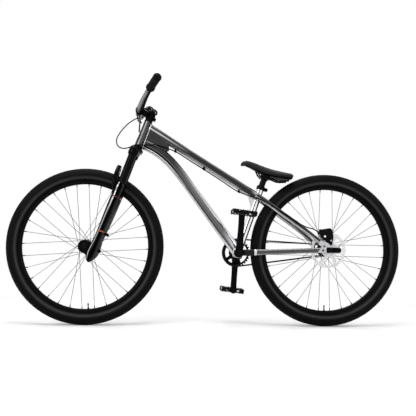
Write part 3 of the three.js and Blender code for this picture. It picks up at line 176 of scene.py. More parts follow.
# A grid of points becomes faces between neighbours; uv holds two shares for each corner of each face
def gridPatch(grid, around=True, along=False):
    n, m = grid.shape[:2]
    i, j = np.meshgrid(np.arange(n if along else n - 1), np.arange(m if around else m - 1), indexing="ij")
    i, j = i.ravel(), j.ravel()
    i2, j2 = (i + 1) % n, (j + 1) % m
    faces = np.stack([i * m + j, i * m + j2, i2 * m + j2, i2 * m + j], axis=1)
    high = [(i, j), (i, j + 1), (i + 1, j + 1), (i + 1, j)]
    uv = np.stack([np.stack([b / m, a / max(n - 1, 1)], axis=1) for a, b in high], axis=1)
    return grid.reshape(-1, 3), faces.tolist(), uv.reshape(-1, 2)


# A tube: at each step of a path of rows (x, y, z, half width, half depth) stands an oval ring, its ends closed
# by smaller rings. The first share of its uv is 0 on the top line of the ring and 1 on the bottom line.
def tube(rows, count=40, around=32, side=(0, 1, 0), power=2.0, bevel=0.8, smooth=True, closed=False):
    path = smoothPath(rows, count) if smooth else np.asarray(rows, float)
    if path.shape[1] == 4:
        path = np.concatenate([path, path[:, 3:4]], axis=1)
    centre = path[:, :3]
    if closed:
        ahead = unit(np.roll(centre, -1, 0) - np.roll(centre, 1, 0))
    else:
        ahead = unit(np.gradient(centre, axis=0))
    side = np.asarray(side, float)
    if side.ndim == 1:
        side = np.tile(side, (len(centre), 1))
    sideways = unit(side - np.sum(side * ahead, axis=1, keepdims=True) * ahead)
    up = np.cross(ahead, sideways)
    turn = np.linspace(0, 2 * np.pi, around, endpoint=False)
    wide, deep = [np.sign(f) * np.abs(f) ** (2 / power) for f in (np.sin(turn), np.cos(turn))]
    ring = path[:, 3, None, None] * wide[None, :, None] * sideways[:, None]
    ring = centre[:, None] + ring + path[:, 4, None, None] * deep[None, :, None] * up[:, None]
    if not closed:
        ends = []
        for k, way in ((0, -1), (-1, 1)):
            small = 1 - bevel / max(path[k, 3], path[k, 4])
            lip = centre[k] + (ring[k] - centre[k]) * small + way * bevel * ahead[k]
            middle = np.tile(centre[k] + way * bevel * ahead[k], (around, 1))
            ends.append([middle, lip])
        ring = np.concatenate([ends[0], ring, ends[1][::-1]])
    points, faces, uv = gridPatch(ring, along=closed)
    uv[:, 0] = 1 - np.abs(2 * uv[:, 0] - 1)
    return points, faces, uv


# A turned part: a profile of (radius, reach) carried round an axis through a centre
def turned(profile, centre, axis=(0, 1, 0), around=64, closed=True):
    profile = np.asarray(profile, float)
    axis = unit(np.asarray(axis, float))
    first = unit(np.cross(axis, [0, 0, 1] if abs(axis[2]) < 0.9 else [1, 0, 0]))
    second = np.cross(axis, first)
    turn = np.linspace(0, 2 * np.pi, around, endpoint=False)
    spoke = np.cos(turn)[:, None] * first + np.sin(turn)[:, None] * second
    grid = np.asarray(centre, float) + profile[:, 0, None, None] * spoke[None]
    grid = grid + profile[:, 1, None, None] * axis
    if closed:
        return gridPatch(grid, along=True)
    return gridPatch(grid)


# A flat plate: each loop of (x, z) is a wall across Y with a small slope at both faces, closed by triangles
def plate(loops, low, high, slope=0.4):
    rings, walls, uv, start = [], [], [], 0
    for k, loop in enumerate(loops):
        loop = np.asarray(loop, float)
        area = np.sum(loop[:, 0] * np.roll(loop[:, 1], -1) - np.roll(loop[:, 0], -1) * loop[:, 1])
        if area < 0:
            loop = loop[::-1]
        chord = unit(np.roll(loop, -1, 0) - np.roll(loop, 1, 0))
        inward = np.stack([-chord[:, 1], chord[:, 0]], axis=1) * (1 if k == 0 else -1)
        inner = loop + slope * inward
        layers = [(inner, low), (loop, low + slope), (loop, high - slope), (inner, high)]
        grid = np.stack([np.stack([p[:, 0], np.full(len(p), y), p[:, 1]], axis=1) for p, y in layers])
        points, faces, corner = gridPatch(grid)
        rings.append(points)
        walls += [[start + c for c in face] for face in faces]
        uv.append(corner)
        start += len(points)
    counts = [len(r) // 4 for r in rings]
    bases = np.concatenate([[0], np.cumsum([4 * c for c in counts])])
    flat = [[(p[0], p[2], 0) for p in r[: len(r) // 4]] for r in rings]
    index = np.concatenate([bases[k] + np.arange(c) for k, c in enumerate(counts)])
    top = np.concatenate([bases[k] + 3 * c + np.arange(c) for k, c in enumerate(counts)])
    caps = np.array(tessellate_polygon(flat))
    faces = walls + index[caps].tolist() + top[caps[:, ::-1]].tolist()
    uv.append(np.zeros((2 * caps.size, 2)))
    return np.concatenate(rings), faces, np.concatenate(uv)


# Copies of a patch, each moved by a 3x4 matrix
def copies(patch, matrices):
    points, faces, uv = patch
    matrices = np.asarray(matrices, float)
    moved = np.einsum("kij,pj->kpi", matrices[:, :, :3], points) + matrices[:, None, :, 3]
    shifted = [[c + k * len(points) for c in face] for k in range(len(matrices)) for face in faces]
    return moved.reshape(-1, 3), shifted, np.tile(uv, (len(matrices), 1))


# A matrix that takes local z to a direction and the origin to a place
def standOn(place, axis, turn=0.0):
    axis = unit(np.asarray(axis, float))
    first = unit(np.cross(axis, [0, 0, 1] if abs(axis[2]) < 0.9 else [1, 0, 0]))
    second = np.cross(axis, first)
    first, second = (
        np.cos(turn) * first + np.sin(turn) * second,
        np.cos(turn) * second - np.sin(turn) * first,
    )
    return np.stack([first, second, axis, np.asarray(place, float)], axis=1)


# Points at some angles about (x, z), at one radius or at one for each angle
def arcAt(x, z, radius, angles):
    return np.stack([x + radius * np.cos(angles), z + radius * np.sin(angles)], axis=1)


# Points at even angles on a circle
def circle(x, z, radius, steps=24, start=0.0):
    return arcAt(x, z, radius, start + np.linspace(0, 2 * np.pi, steps, endpoint=False))


# Patches become one object whose faces look outwards, smooth below a corner angle
def piece(name, patches, finish, body, replaces=(), sharp=38):
    start, points, faces, uv = 0, [], [], []
    for patchPoints, patchFaces, patchUv in patches:
        points.append(patchPoints)
        faces += [[c + start for c in face] for face in patchFaces]
        uv.append(patchUv)
        start += len(patchPoints)
    mesh = bpy.data.meshes.new(name)
    mesh.from_pydata((np.concatenate(points) * millimetre).tolist(), [], faces)
    layer = mesh.uv_layers.new(name="surface")
    layer.data.foreach_set("uv", np.concatenate(uv).astype(np.float32).ravel())
    work = bmesh.new()
    work.from_mesh(mesh)
    bmesh.ops.remove_doubles(work, verts=work.verts, dist=2e-6)
    bmesh.ops.dissolve_degenerate(work, edges=work.edges, dist=1e-7)
    bmesh.ops.recalc_face_normals(work, faces=work.faces)
    work.to_mesh(mesh)
    work.free()
    mesh.shade_smooth()
    mesh.set_sharp_from_angle(angle=np.radians(sharp))
    mesh.materials.append(looks[finish])
    made = bpy.data.objects.new(name, mesh)
    bpy.context.scene.collection.objects.link(made)
    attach(made, body)
    if replaces:
        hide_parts(*replaces)
    return made


# ---- nodes, lamps and finishes

# A new node gives one of its outputs. Each input named is set to a number, or linked where an output is given.
def addNode(tree, kind, inputs={}, give=0, **settings):
    node = tree.nodes.new("ShaderNode" + kind)
    for key, value in settings.items():
        setattr(node, key, value)
    setInputs(tree, node, inputs)
    return node.outputs[give] if node.outputs else None


# Each named input is set to its number or linked to its source
def setInputs(tree, node, inputs):
    for key, value in inputs.items():
        if isinstance(value, bpy.types.NodeSocket):
            tree.links.new(value, node.inputs[key])
        else:
            node.inputs[key].default_value = value


# 1 for the rays that should meet the bright backdrop, the greatest of three kinds of ray, and 0 for the rest
def backdropRays(tree):
    seen, shone, passed = [addNode(tree, "LightPath", give="Is %s Ray" % kind)
                              for kind in ("Camera", "Glossy", "Transmission")]
    first = addNode(tree, "Math", {0: seen, 1: shone}, operation="MAXIMUM")
    return addNode(tree, "Math", {0: first, 1: passed}, operation="MAXIMUM")


# A world that is white to the rays that see it and dimmer to the rest, and round lamps that point at one place
def lightStudio(s):
    world = bpy.data.worlds.new("studio")
    bpy.context.scene.world = world
    world.use_nodes = True
    tree = world.node_tree
    tree.nodes.clear()
    dim, white = [addNode(tree, "Background", {"Color": (1, 1, 1, 1), "Strength": strength})
                  for strength in (s["worldLight"], 1)]
    mix = addNode(tree, "MixShader", {0: backdropRays(tree), 1: dim, 2: white})
    addNode(tree, "OutputWorld", {0: mix})
    for name, place, size, watts in s["lamps"]:
        lamp = bpy.data.lights.new(name, "AREA")
        lamp.shape = "DISK"
        lamp.size = size
        lamp.energy = watts
        holder = bpy.data.objects.new(name, lamp)
        away = unit(np.array(place) - s["aim"])
        side = unit(np.cross([0, 0, 1] if abs(away[2]) < 0.9 else [0, 1, 0], away))
        rows = np.stack([side, np.cross(away, side), away, place], axis=1)
        holder.matrix_world = Matrix(np.vstack([rows, [0, 0, 0, 1]]))
        bpy.context.scene.collection.objects.link(holder)


lightStudio(studio)


# How light a finish looks, from 0 to 1, becomes the strength of its colour
def shadeOf(tone, tint):
    return (*[tone**2.2 * c for c in tint], 1)


# Bands given by their place across the seen face of a round tube move to their share of the half turn
def across(*stops):
    return [(np.arccos(1 - 2 * w) / np.pi, tone) for w, tone in stops]


# Painted light and shade round a part: one ramp of tones for each stretch of its length, each fading into the next
# between two shares
def paintedLightBands(tree, stretches, tint):
    ringShare, lengthShare = [addNode(tree, "SeparateXYZ", {0: addNode(tree, "TexCoord", give="UV")}, axis)
                              for axis in "XY"]
    last = None
    for start, end, stops in stretches:
        colour = addNode(tree, "ValToRGB", {"Fac": ringShare}, "Color")
        elements = colour.node.color_ramp.elements
        while len(elements) < len(stops):
            elements.new(0.5)
        for element, (at, tone) in zip(elements, stops):
            element.position = at
            element.color = shadeOf(tone, tint)
        if last:
            fade = addNode(tree, "MapRange", {"From Min": start, "From Max": end, "Value": lengthShare})
            colour = addNode(tree, "Mix", {"Factor": fade, "A": last, "B": colour}, "Result", data_type="RGBA")
        last = colour
    return last


# A finish is a shader with its own colour and gloss, a cloudy change of both, and a fine bump of its own grain.
# On a banded tube the grain is drawn out along the tube, as polishing leaves it. Bands paint light and shade into the
# colour.
def makeFinish(name, tone=0.1, tint=(1, 1, 1.03), metal=0.0, gloss=0.5, shine=0.15, grain=900, depth=0.1, cloud=14,
               vary=0.12, rub=0.08, coat=0.0, edge=1.0, bands=None, drawn=False):
    material = bpy.data.materials.new(name)
    material.use_nodes = True
    tree = material.node_tree
    solid = addNode(tree, "TexCoord", give="Object")
    clouds = addNode(tree, "TexNoise", {"Scale": cloud, "Detail": 5, "Vector": solid}, "Fac")
    if drawn:
        surface = addNode(tree, "TexCoord", give="UV")
        solid = addNode(tree, "Mapping", {"Scale": (1, 0.12, 1), "Vector": surface})
    fine = addNode(tree, "TexNoise", {"Scale": grain, "Detail": 3, "Vector": solid}, "Fac")
    shade = addNode(tree, "MapRange", {"To Min": 1 - vary, "To Max": 1 + vary, "Value": clouds})
    base = paintedLightBands(tree, bands, tint) if bands else shadeOf(tone, tint)
    colour = addNode(tree, "Mix", {"Factor": 1, "A": base, "B": shade}, "Result", data_type="RGBA",
                     blend_type="MULTIPLY")
    rough = addNode(tree, "MapRange", {"To Min": max(gloss - rub, 0.02), "To Max": gloss + rub, "Value": clouds})
    bump = addNode(tree, "Bump", {"Strength": depth, "Distance": millimetre, "Height": fine})
    setInputs(tree, tree.nodes["Principled BSDF"], {
        "Metallic": metal, "Specular IOR Level": shine, "Specular Tint": (edge, edge, edge, 1), "Coat Weight": coat,
        "Coat Roughness": 0.08, "Base Color": colour, "Roughness": rough, "Normal": bump})
    return material


# Tones are how light the finish looks on its lit side; bands run from a tube's upper or front line to the other and
# paint light and shade into the colour
tubeLook = {"metal": 1, "gloss": 0.24, "coat": 0.05, "grain": 260, "depth": 0.04, "vary": 0.08, "edge": 0.5,
            "drawn": True}
satin = {"tone": 0.05, "gloss": 0.34, "shine": 0.07, "depth": 0.06, "vary": 0.25}
looks = {name: makeFinish(name, **look) for name, look in {
    "glossBlack": {"tone": 0.03, "gloss": 0.16, "shine": 0.05, "depth": 0.02, "vary": 0.3},
    "satinBlack": satin, "blackSteel": satin, "blackAnodised": satin, "blackClip": satin,
    "anodisedBlack": {"tone": 0.08, "metal": 0.5, "gloss": 0.26, "shine": 0.12, "edge": 0.4, "depth": 0.05,
                      "vary": 0.2},
    # Painted highlight: a bright line down the front of each black leg and lighter streaks towards its rear
    "legBlackPaintedHighlight": {"metal": 1, "gloss": 0.2, "edge": 0.15, "grain": 260, "depth": 0.02, "drawn": True, "bands": [
        (0, 0, across((0, 0), (0.1, 0.04), (0.22, 0.2), (0.275, 0.7), (0.33, 0.3), (0.38, 0.05), (0.6, 0.04),
                      (0.72, 0.14), (0.82, 0.2), (0.9, 0.12), (1, 0.2))),
        (0.15, 0.4, across((0, 0), (0.1, 0.04), (0.17, 0.25), (0.215, 0.85), (0.26, 0.5), (0.3, 0.1), (0.45, 0.04),
                           (0.6, 0.08), (0.8, 0.16), (0.9, 0.34), (1, 0.55))),
        (0.5, 0.75, across((0, 0), (0.08, 0.05), (0.12, 0.35), (0.165, 0.9), (0.21, 0.45), (0.25, 0.08),
                           (0.5, 0.03), (0.65, 0.05), (0.78, 0.15), (0.9, 0.28), (1, 0.45)))]},
    # Painted shade: the bar is darker towards its rear and lighter towards its front
    "barGreyPaintedShade": {"metal": 1, "gloss": 0.34, "edge": 0.05, "depth": 0.05, "vary": 0.12, "grain": 700,
                "bands": [(0, 0, across((0, 0.25), (0.35, 0.25), (0.48, 0.42), (0.7, 0.6), (1, 0.8)))]},
    "gripRubber": {"tone": 0.06, "gloss": 0.6, "shine": 0.07, "grain": 1300, "depth": 0.25, "vary": 0.3},
    # Painted sheen: a lighter ring half way down each sidewall of the dark rubber
    "tyreRubberPaintedSheen": {"gloss": 0.45, "shine": 0.05, "grain": 650, "depth": 0.4, "cloud": 9, "vary": 0.3,
                   "bands": [(0, 0, [(0, 0.05), (0.46, 0.06), (0.53, 0.13), (0.6, 0.22), (0.65, 0.17),
                                     (0.72, 0.06), (1, 0.03)])]},
    "brushedSteel": {"tone": 0.72, "metal": 1, "gloss": 0.28, "grain": 500, "depth": 0.06},
    "spokeSteel": {"tone": 0.4, "metal": 0.9, "gloss": 0.3, "depth": 0.04},
    "rotorSteel": {"tone": 0.82, "metal": 1, "gloss": 0.33, "grain": 420, "depth": 0.12},
    "chainSteel": {"tone": 0.14, "metal": 0.85, "gloss": 0.35, "edge": 0.3, "grain": 800, "vary": 0.3},
    "pedalPlastic": {"tone": 0.05, "gloss": 0.42, "shine": 0.08, "grain": 1500, "depth": 0.2, "vary": 0.25},
    "basePlastic": {"tone": 0.03, "gloss": 0.6, "shine": 0.05, "grain": 1100, "depth": 0.25, "vary": 0.2},
    "hosePlastic": {"tone": 0.04, "gloss": 0.4, "shine": 0.08, "grain": 1600, "vary": 0.2},
    "emberBand": {"tone": 0.55, "tint": (1, 0.35, 0.12), "metal": 0.4, "gloss": 0.3, "depth": 0.02},
    "wineBand": {"tone": 0.32, "tint": (1, 0.22, 0.2), "metal": 0.4, "gloss": 0.3, "depth": 0.02},
    "saddleCover": {"tone": 0.05, "gloss": 0.42, "shine": 0.22, "grain": 1500, "depth": 0.5, "cloud": 22,
                    "vary": 0.3},
    "stitchThread": {"tone": 0.12, "gloss": 0.6, "grain": 2400, "depth": 0.3},
    "tanPatch": {"tone": 0.55, "tint": (1, 0.92, 0.8), "metal": 0.5, "gloss": 0.35, "depth": 0.05},
    # The frame tubes' bands are painted reflections: dark flanks of painted shade and bright lines of painted
    # highlight, fixed on the surface
    "headAlloyPaintedLight": {**tubeLook, "depth": 0.015, "bands": [
        (0, 0, across((0, 0.2), (0.12, 0.24), (0.25, 0.3), (0.35, 0.36), (0.5, 0.34), (0.7, 0.24), (0.88, 0.14),
                      (1, 0.2)))]},
    "topAlloyPaintedLight": {**tubeLook, "bands": [
        (0, 0, across((0, 0.85), (0.12, 0.5), (0.22, 0.22), (0.4, 0.2), (0.46, 0.8), (0.53, 0.75), (0.59, 0.25),
                      (0.8, 0.22), (0.9, 0.6), (1, 0.75))),
        (0.12, 0.38, across((0, 0.95), (0.1, 0.8), (0.2, 0.5), (0.31, 0.26), (0.42, 0.2), (0.68, 0.22), (0.77, 0.4),
                            (0.86, 0.78), (0.94, 0.7), (1, 0.5))),
        (0.9, 0.96, across((0, 0.95), (0.3, 0.85), (0.42, 0.7), (0.5, 0.28), (0.8, 0.24), (0.9, 0.5), (1, 0.5)))]},
    "downAlloyPaintedLight": {**tubeLook, "depth": 0.015, "bands": [
        (0, 0, across((0, 0.35), (0.1, 0.26), (0.52, 0.22), (0.57, 0.42), (0.61, 0.2), (0.65, 0.03), (0.75, 0.04),
                      (0.79, 0.85), (0.88, 0.9), (1, 0.6))),
        (0.25, 0.45, across((0, 0.97), (0.13, 0.93), (0.22, 0.74), (0.32, 0.5), (0.5, 0.42), (0.62, 0.34),
                            (0.68, 0.42), (0.73, 0.2), (0.79, 0.1), (0.84, 0.5), (0.9, 0.88), (1, 0.62))),
        (0.8, 0.95, across((0, 0.75), (0.12, 0.6), (0.25, 0.8), (0.45, 0.9), (0.58, 0.8), (0.66, 0.16),
                           (0.72, 0.12), (0.78, 0.6), (0.86, 0.9), (1, 0.8)))]},
    "seatAlloyPaintedLight": {**tubeLook, "depth": 0.015, "bands": [
        (0, 0, across((0, 0.9), (0.2, 0.85), (0.3, 0.5), (0.36, 0.12), (0.42, 0.3), (0.5, 0.95), (0.71, 0.95),
                      (0.76, 0.4), (0.81, 0.12), (0.86, 0.5), (0.92, 0.9), (1, 0.9)))]},
    "highStayAlloyPaintedLight": {**tubeLook, "bands": [
        (0, 0, across((0, 0.5), (0.12, 0.4), (0.3, 0.26), (0.42, 0.17), (0.52, 0.2), (0.62, 0.42), (0.72, 0.6),
                      (0.84, 0.7), (1, 0.62)))]},
    "lowStayAlloyPaintedLight": {**tubeLook, "bands": [
        (0, 0, across((0, 0.4), (0.12, 0.16), (0.9, 0.14), (1, 0.3))),
        (0.185, 0.19, across((0, 0.8), (0.08, 0.55), (0.2, 0.36), (0.5, 0.3), (0.7, 0.33), (0.8, 0.45), (0.9, 0.62),
                           (1, 0.85)))]},
    "gussetAlloy": {"tone": 0.24, "metal": 1, "gloss": 0.3, "grain": 500, "depth": 0.06},
    "bareAlloy": {"tone": 0.74, "metal": 1, "gloss": 0.3, "grain": 500, "coat": 0.08},
    "weldAlloy": {"tone": 0.8, "metal": 1, "gloss": 0.3, "grain": 1200, "depth": 0.15},
}.items()}
print("finishes made:", len(looks))


# ---- floor

# A disc of rings whose radius grows evenly; its finish fades to nothing towards the rim
def layFloor(s):
    looks["floorWhite"] = material = bpy.data.materials.new("floorWhite")
    material.use_nodes = True
    tree = material.node_tree
    tree.nodes.clear()
    reach = addNode(tree, "VectorMath", {0: addNode(tree, "TexCoord", give="Object")}, "Value", operation="LENGTH")
    fade = addNode(tree, "MapRange", {"From Min": s["floorNear"], "From Max": s["floorFar"] - 0.05, "Value": reach},
                   interpolation_type="SMOOTHSTEP")
    glow = addNode(tree, "Math", {0: backdropRays(tree), 1: s["floorGlow"]}, operation="MULTIPLY")
    both = addNode(tree, "AddShader", {0: addNode(tree, "BsdfDiffuse", {"Color": (*[s["floorColour"]] * 3, 1)}),
                                       1: addNode(tree, "Emission", {"Strength": glow})})
    mix = addNode(tree, "MixShader", {0: fade, 1: both, 2: addNode(tree, "BsdfTransparent")})
    addNode(tree, "OutputMaterial", {0: mix})
    rings = np.linspace(0.01, s["floorFar"], 24) / millimetre
    disc = turned([(r, 0) for r in rings], (0, 0, 0), (0, 0, 1), 96, closed=False)
    floor = piece("floor", [disc], "floorWhite", "frame")


layFloor(studio)
print("studio ready")


# ---- small parts used in many places

# A socket screw along local z: a turned head with a hollow, standing on a shank
def screwPatch(radius, height, shank=0.0, hollow=0.5):
    profile = [(0, height * 0.35), (radius * hollow, height * 0.35), (radius * hollow, height * 0.94),
               (radius * 0.88, height), (radius, height * 0.85), (radius, 0)]
    profile += [(radius * 0.6, 0), (radius * 0.6, -shank), (0, -shank)] if shank else [(0, 0)]
    return turned(profile, (0, 0, 0), (0, 0, 1), 18, closed=False)


# The same screw at each place
def screws(places, axis, radius, height, shank=0.0):
    return copies(screwPatch(radius, height, shank), [standOn(p, axis) for p in places])


# A disc or short cylinder about an axis, with a small slope at both edges
def button(place, axis, radius, low, high, slope=0.6, around=32, bore=0.0):
    if bore:
        profile = [(bore, low + slope), (bore + slope, low), (radius - slope, low), (radius, low + slope),
                   (radius, high - slope), (radius - slope, high), (bore + slope, high), (bore, high - slope)]
        return turned(profile, place, axis, around)
    profile = [(0, low), (radius - slope, low), (radius, low + slope), (radius, high - slope),
               (radius - slope, high), (0, high)]
    return turned(profile, place, axis, around, closed=False)


# A weld: a bead along the line where a tube of two half sizes meets a round one, rippled like a row of coins
def weldBead(start, ahead, wide, deep, centre, axis, radius, bead=2.4, side=(0, 1, 0), power=2.3, least=0.0):
    ahead, axis = unit(np.asarray(ahead, float)), unit(np.asarray(axis, float))
    sideways = unit(np.asarray(side, float) - np.dot(side, ahead) * ahead)
    up = np.cross(ahead, sideways)
    turn = np.linspace(0, 2 * np.pi, 160, endpoint=False)
    w, d = [np.sign(f) * np.abs(f) ** (2 / power) for f in (np.sin(turn), np.cos(turn))]
    line = np.asarray(start, float) + w[:, None] * wide * sideways + d[:, None] * deep * up - np.asarray(centre)
    flat = line - (line @ axis)[:, None] * axis
    run = ahead - np.dot(ahead, axis) * axis
    a, b = np.dot(run, run), flat @ run
    c = np.sum(flat * flat, axis=1) - radius**2
    root = np.sqrt(np.maximum(b * b - a * c, a * (least * radius) ** 2))
    at = (root - b) / a
    path = line + np.asarray(centre) + at[:, None] * ahead
    ripple = bead * (1 + 0.16 * np.abs(np.sin(turn * 28)))
    rows = np.concatenate([path, ripple[:, None]], axis=1)
    return tube(rows, around=10, side=np.tile(ahead, (160, 1)), smooth=False, closed=True)


# ---- frame tubes

headTube = {"low": 488, "high": 602.6, "lowRadius": 20, "waistRadius": 18.2, "highRadius": 17.5}
downTube = {"start": (-301.2, 792.0), "corner": (-191.93, 753.11), "bend": 182, "wide": 24, "deep": 23.5}
topTube = {"start": (-275.5, 864.2), "end": (220.2, 564.1), "wide": 20, "deep": 19.5, "headDeep": 21}
seatTube = {"length": 311, "radius": 15.6}
shell = {"centre": (134, 0, 318), "radius": 22, "half": 36.5}
axleAt = {"front": (-526, 0, 336), "rear": (526, 0, 336)}


# Each tube follows its line from end to end. The down tube leaves the head along a cubic curve.
def buildFrontTubes():
    h = headTube
    rows = inFork([(0, 0, h["low"] + 0.8, h["lowRadius"]), (0, 0, h["low"] + 12, h["lowRadius"]),
                   (0, 0, (h["low"] + h["high"]) / 2, h["waistRadius"]),
                   (0, 0, h["high"] - 10, h["highRadius"]), (0, 0, h["high"] - 0.8, h["highRadius"])])
    piece("headTube", [tube(rows, 30, 48)], "headAlloyPaintedLight", "frame", ["front_triangle"])

    d = downTube
    start, corner = [np.array([x, 0, z], float) for x, z in (d["start"], d["corner"])]
    bracket = np.array(shell["centre"], float)
    ahead = unit(bracket - corner)
    bendEnd = corner + d["bend"] * ahead
    t = np.linspace(0.06, 1, 12)[:, None]
    pull = [start, start + 0.8 * (corner - start), bendEnd + 0.8 * (corner - bendEnd), bendEnd]
    shares = [(1 - t) ** 3, 3 * t * (1 - t) ** 2, 3 * t * t * (1 - t), t**3]
    bend = sum(s * p for s, p in zip(shares, pull))
    line = np.concatenate([bend, [bendEnd + (bracket - bendEnd) * s for s in (0.33, 0.66, 1)]])
    wide = d["wide"] - 6 * np.clip(1.1 - np.linalg.norm(line - start, axis=1) / 45, 0, 1)
    rows = np.stack([*line.T, wide, np.full(len(line), d["deep"])], axis=1)
    piece("downTube", [tube(rows, 70, 48, power=2.4)], "downAlloyPaintedLight", "frame")

    p = topTube
    first, last = [np.array([x, 0, z], float) for x, z in (p["start"], p["end"])]
    steps = [(0.025, 0.8, 1), (0.1, 1, 0.7), (0.3, 1, 0), (0.7, 1, 0), (1, 1, 0)]
    rows = [[*(first + (last - first) * s), p["wide"] * wide, p["deep"] + (p["headDeep"] - p["deep"]) * more]
            for s, wide, more in steps]
    piece("topTube", [tube(rows, 60, 48, power=2.3)], "topAlloyPaintedLight", "frame")

    top = seatTube["length"]
    rows = onSeat([(0, 0, 0, seatTube["radius"]), (0, 0, top - 0.8, seatTube["radius"])])
    piece("seatTube", [tube(rows, 20, 40)], "seatAlloyPaintedLight", "frame")

    s = shell
    profile = mirrored([(18.3, -s["half"]), (s["radius"] - 0.8, -s["half"]), (s["radius"], 0.8 - s["half"])])
    piece("bracketShell", [turned(profile, s["centre"], around=72)], "weldAlloy", "frame")

    headAt = inFork([(0, 0, h["low"])])[0]
    topAhead, downAhead = last - first, corner - start
    seams = [
        weldBead(first, topAhead, 17.4, p["headDeep"], headAt, steering["axis"], 18.2, 1.3, least=0.92),
        weldBead(start, downAhead, 19.6, d["deep"], headAt, steering["axis"], 19.2, 1.3, power=2.4, least=0.92),
        weldBead(last, -topAhead, p["wide"], p["deep"], seatLine["foot"], seatLine["axis"], 15.6, 2.0),
        weldBead(bracket, -ahead, d["wide"], d["deep"], s["centre"], (0, 1, 0), s["radius"], power=2.4),
        weldBead(seatLine["foot"], seatLine["axis"], 15.6, 15.6, s["centre"], (0, 1, 0), s["radius"], 2.0),
    ]
    height = np.linspace(h["low"] + 12, h["high"] - 14, 90)
    ripple = 1.1 + 0.3 * np.abs(np.sin(height * 0.8))
    for side in (-1, 1):
        row = inFork(np.stack([17.6 + 0 * height, side * 16.1 + 0 * height, height, ripple], axis=1))
        seams.append(tube(row, around=10, side=(0, 1, 0), smooth=False))
    piece("frontWelds", seams, "weldAlloy", "frame")

    web = [(-272, 858), (-290, 792), (-191.9, 753.1), (-175, 760), (-178, 805)]
    piece("headGusset", [plate([web], -16, 16, 3)], "gussetAlloy", "frame")
    tab = [(216, 560), (184, 582), (176, 572), (190, 522), (203, 524)]
    piece("seatGusset", [plate([tab], -12, 12, 3)], "weldAlloy", "frame")


buildFrontTubes()

stays = {
    "jointHeight": 260,
    "plateMid": 70.8,
    "plateInner": 67.8,
    "plateOuter": 73.8,
    "bandAt": (0.187, 0.565),  # shares of the length and of the distance from the middle
    "low": [(0.055, 0.44, 5.6, 13.4), (0.1, 0.52, 5.6, 13.4), (0.16, 0.545, 5.3, 13.0), (0.235, 0.61, 7.65, 12.6),
            (0.5, 0.76, 8.5, 11.6), (0.83, 0.9, 8.1, 10.9), (0.94, 0.985, 4.7, 11.5)],
    "high": [(-0.03, 0.27, 6.5, 11.4, 1.8), (0.06, 0.37, 7.2, 12, 2.4), (0.17, 0.52, 7.2, 11.6, 3),
             (0.31, 0.61, 7.2, 11.2, 1.8), (0.6, 0.74, 7.2, 10.6, 3.6), (0.8, 0.85, 6.8, 9.4, 3),
             (1, 0.97, 4.3, 8.9, 0)],
    "dropout": [(474, 325.5), (513, 321), (572, 321), (577, 336), (572, 351), (534.7, 362), (513, 370.5),
                (487, 379), (476.6, 362), (492.2, 351)],
}


# Each stay follows the line between its ends: shares of its length, and of its distance from the middle plane
def buildStays():
    axle, bracket = np.array(axleAt["rear"], float), np.array(shell["centre"], float)
    joint = onSeat([(0, 0, stays["jointHeight"])])[0]
    end = axle + np.array([-26, 0, 26])
    for name, side in sides.items():
        low = []
        for along, out, wide, deep in stays["low"]:
            at = bracket + (axle - bracket) * along
            low.append([at[0], side * out * stays["plateMid"], at[2], wide, deep])
        piece(name + "ChainStay", [tube(low, 60, 36, power=2.3)], "lowStayAlloyPaintedLight", "frame",
              ["rear_stays_" + name])
        high = []
        for along, out, wide, deep, lift in stays["high"]:
            at = joint + (end - joint) * along
            high.append([at[0], side * out * stays["plateMid"], at[2] + lift, wide, deep])
        piece(name + "SeatStay", [tube(high, 60, 36, power=2.3)], "highStayAlloyPaintedLight", "frame")
        inner, outer = span(side, stays["plateInner"], stays["plateOuter"])
        hole = circle(axle[0], axle[2], 6.3)
        slot = circle(504, 351, 6, 16)
        loops = [stays["dropout"], hole, slot]
        piece(name + "Dropout", [plate(loops, inner, outer, 1)], "bareAlloy", "frame")
        if side < 0:
            tab = [(480, 426), (541, 418), (545, 392), (536, 352), (516, 368), (497, 384), (484, 402)]
            holes = [circle(507, 396, 5, 16), circle(534, 378, 3.4, 16)]
            piece("brakeTab", [plate([tab] + holes, inner, outer, 1.6)], "satinBlack", "frame")
        along, out = stays["bandAt"]
        band = bracket + (axle - bracket) * along
        rows = [[band[0] + dx, side * out * stays["plateMid"], band[2], w, q] for dx, w, q in
                ((-4.5, 7.2, 13.6), (-2, 8.0, 14.2), (2, 8.2, 14.2), (4.5, 7.6, 13.8))]
        piece(name + "StayBand", [tube(rows, 8, 36, power=2.3)], "weldAlloy", "frame")
    bridge = [[300, -34, 508, 6.5], [300, 0, 512, 6.5], [300, 34, 508, 6.5]]
    piece("stayBridge", [tube(bridge, 20, 20, side=(1, 0, 0))], "bareAlloy", "frame")


buildStays()
print("frame tubes built")


# ---- headset, bracket bearings, seat clamp and rear axle

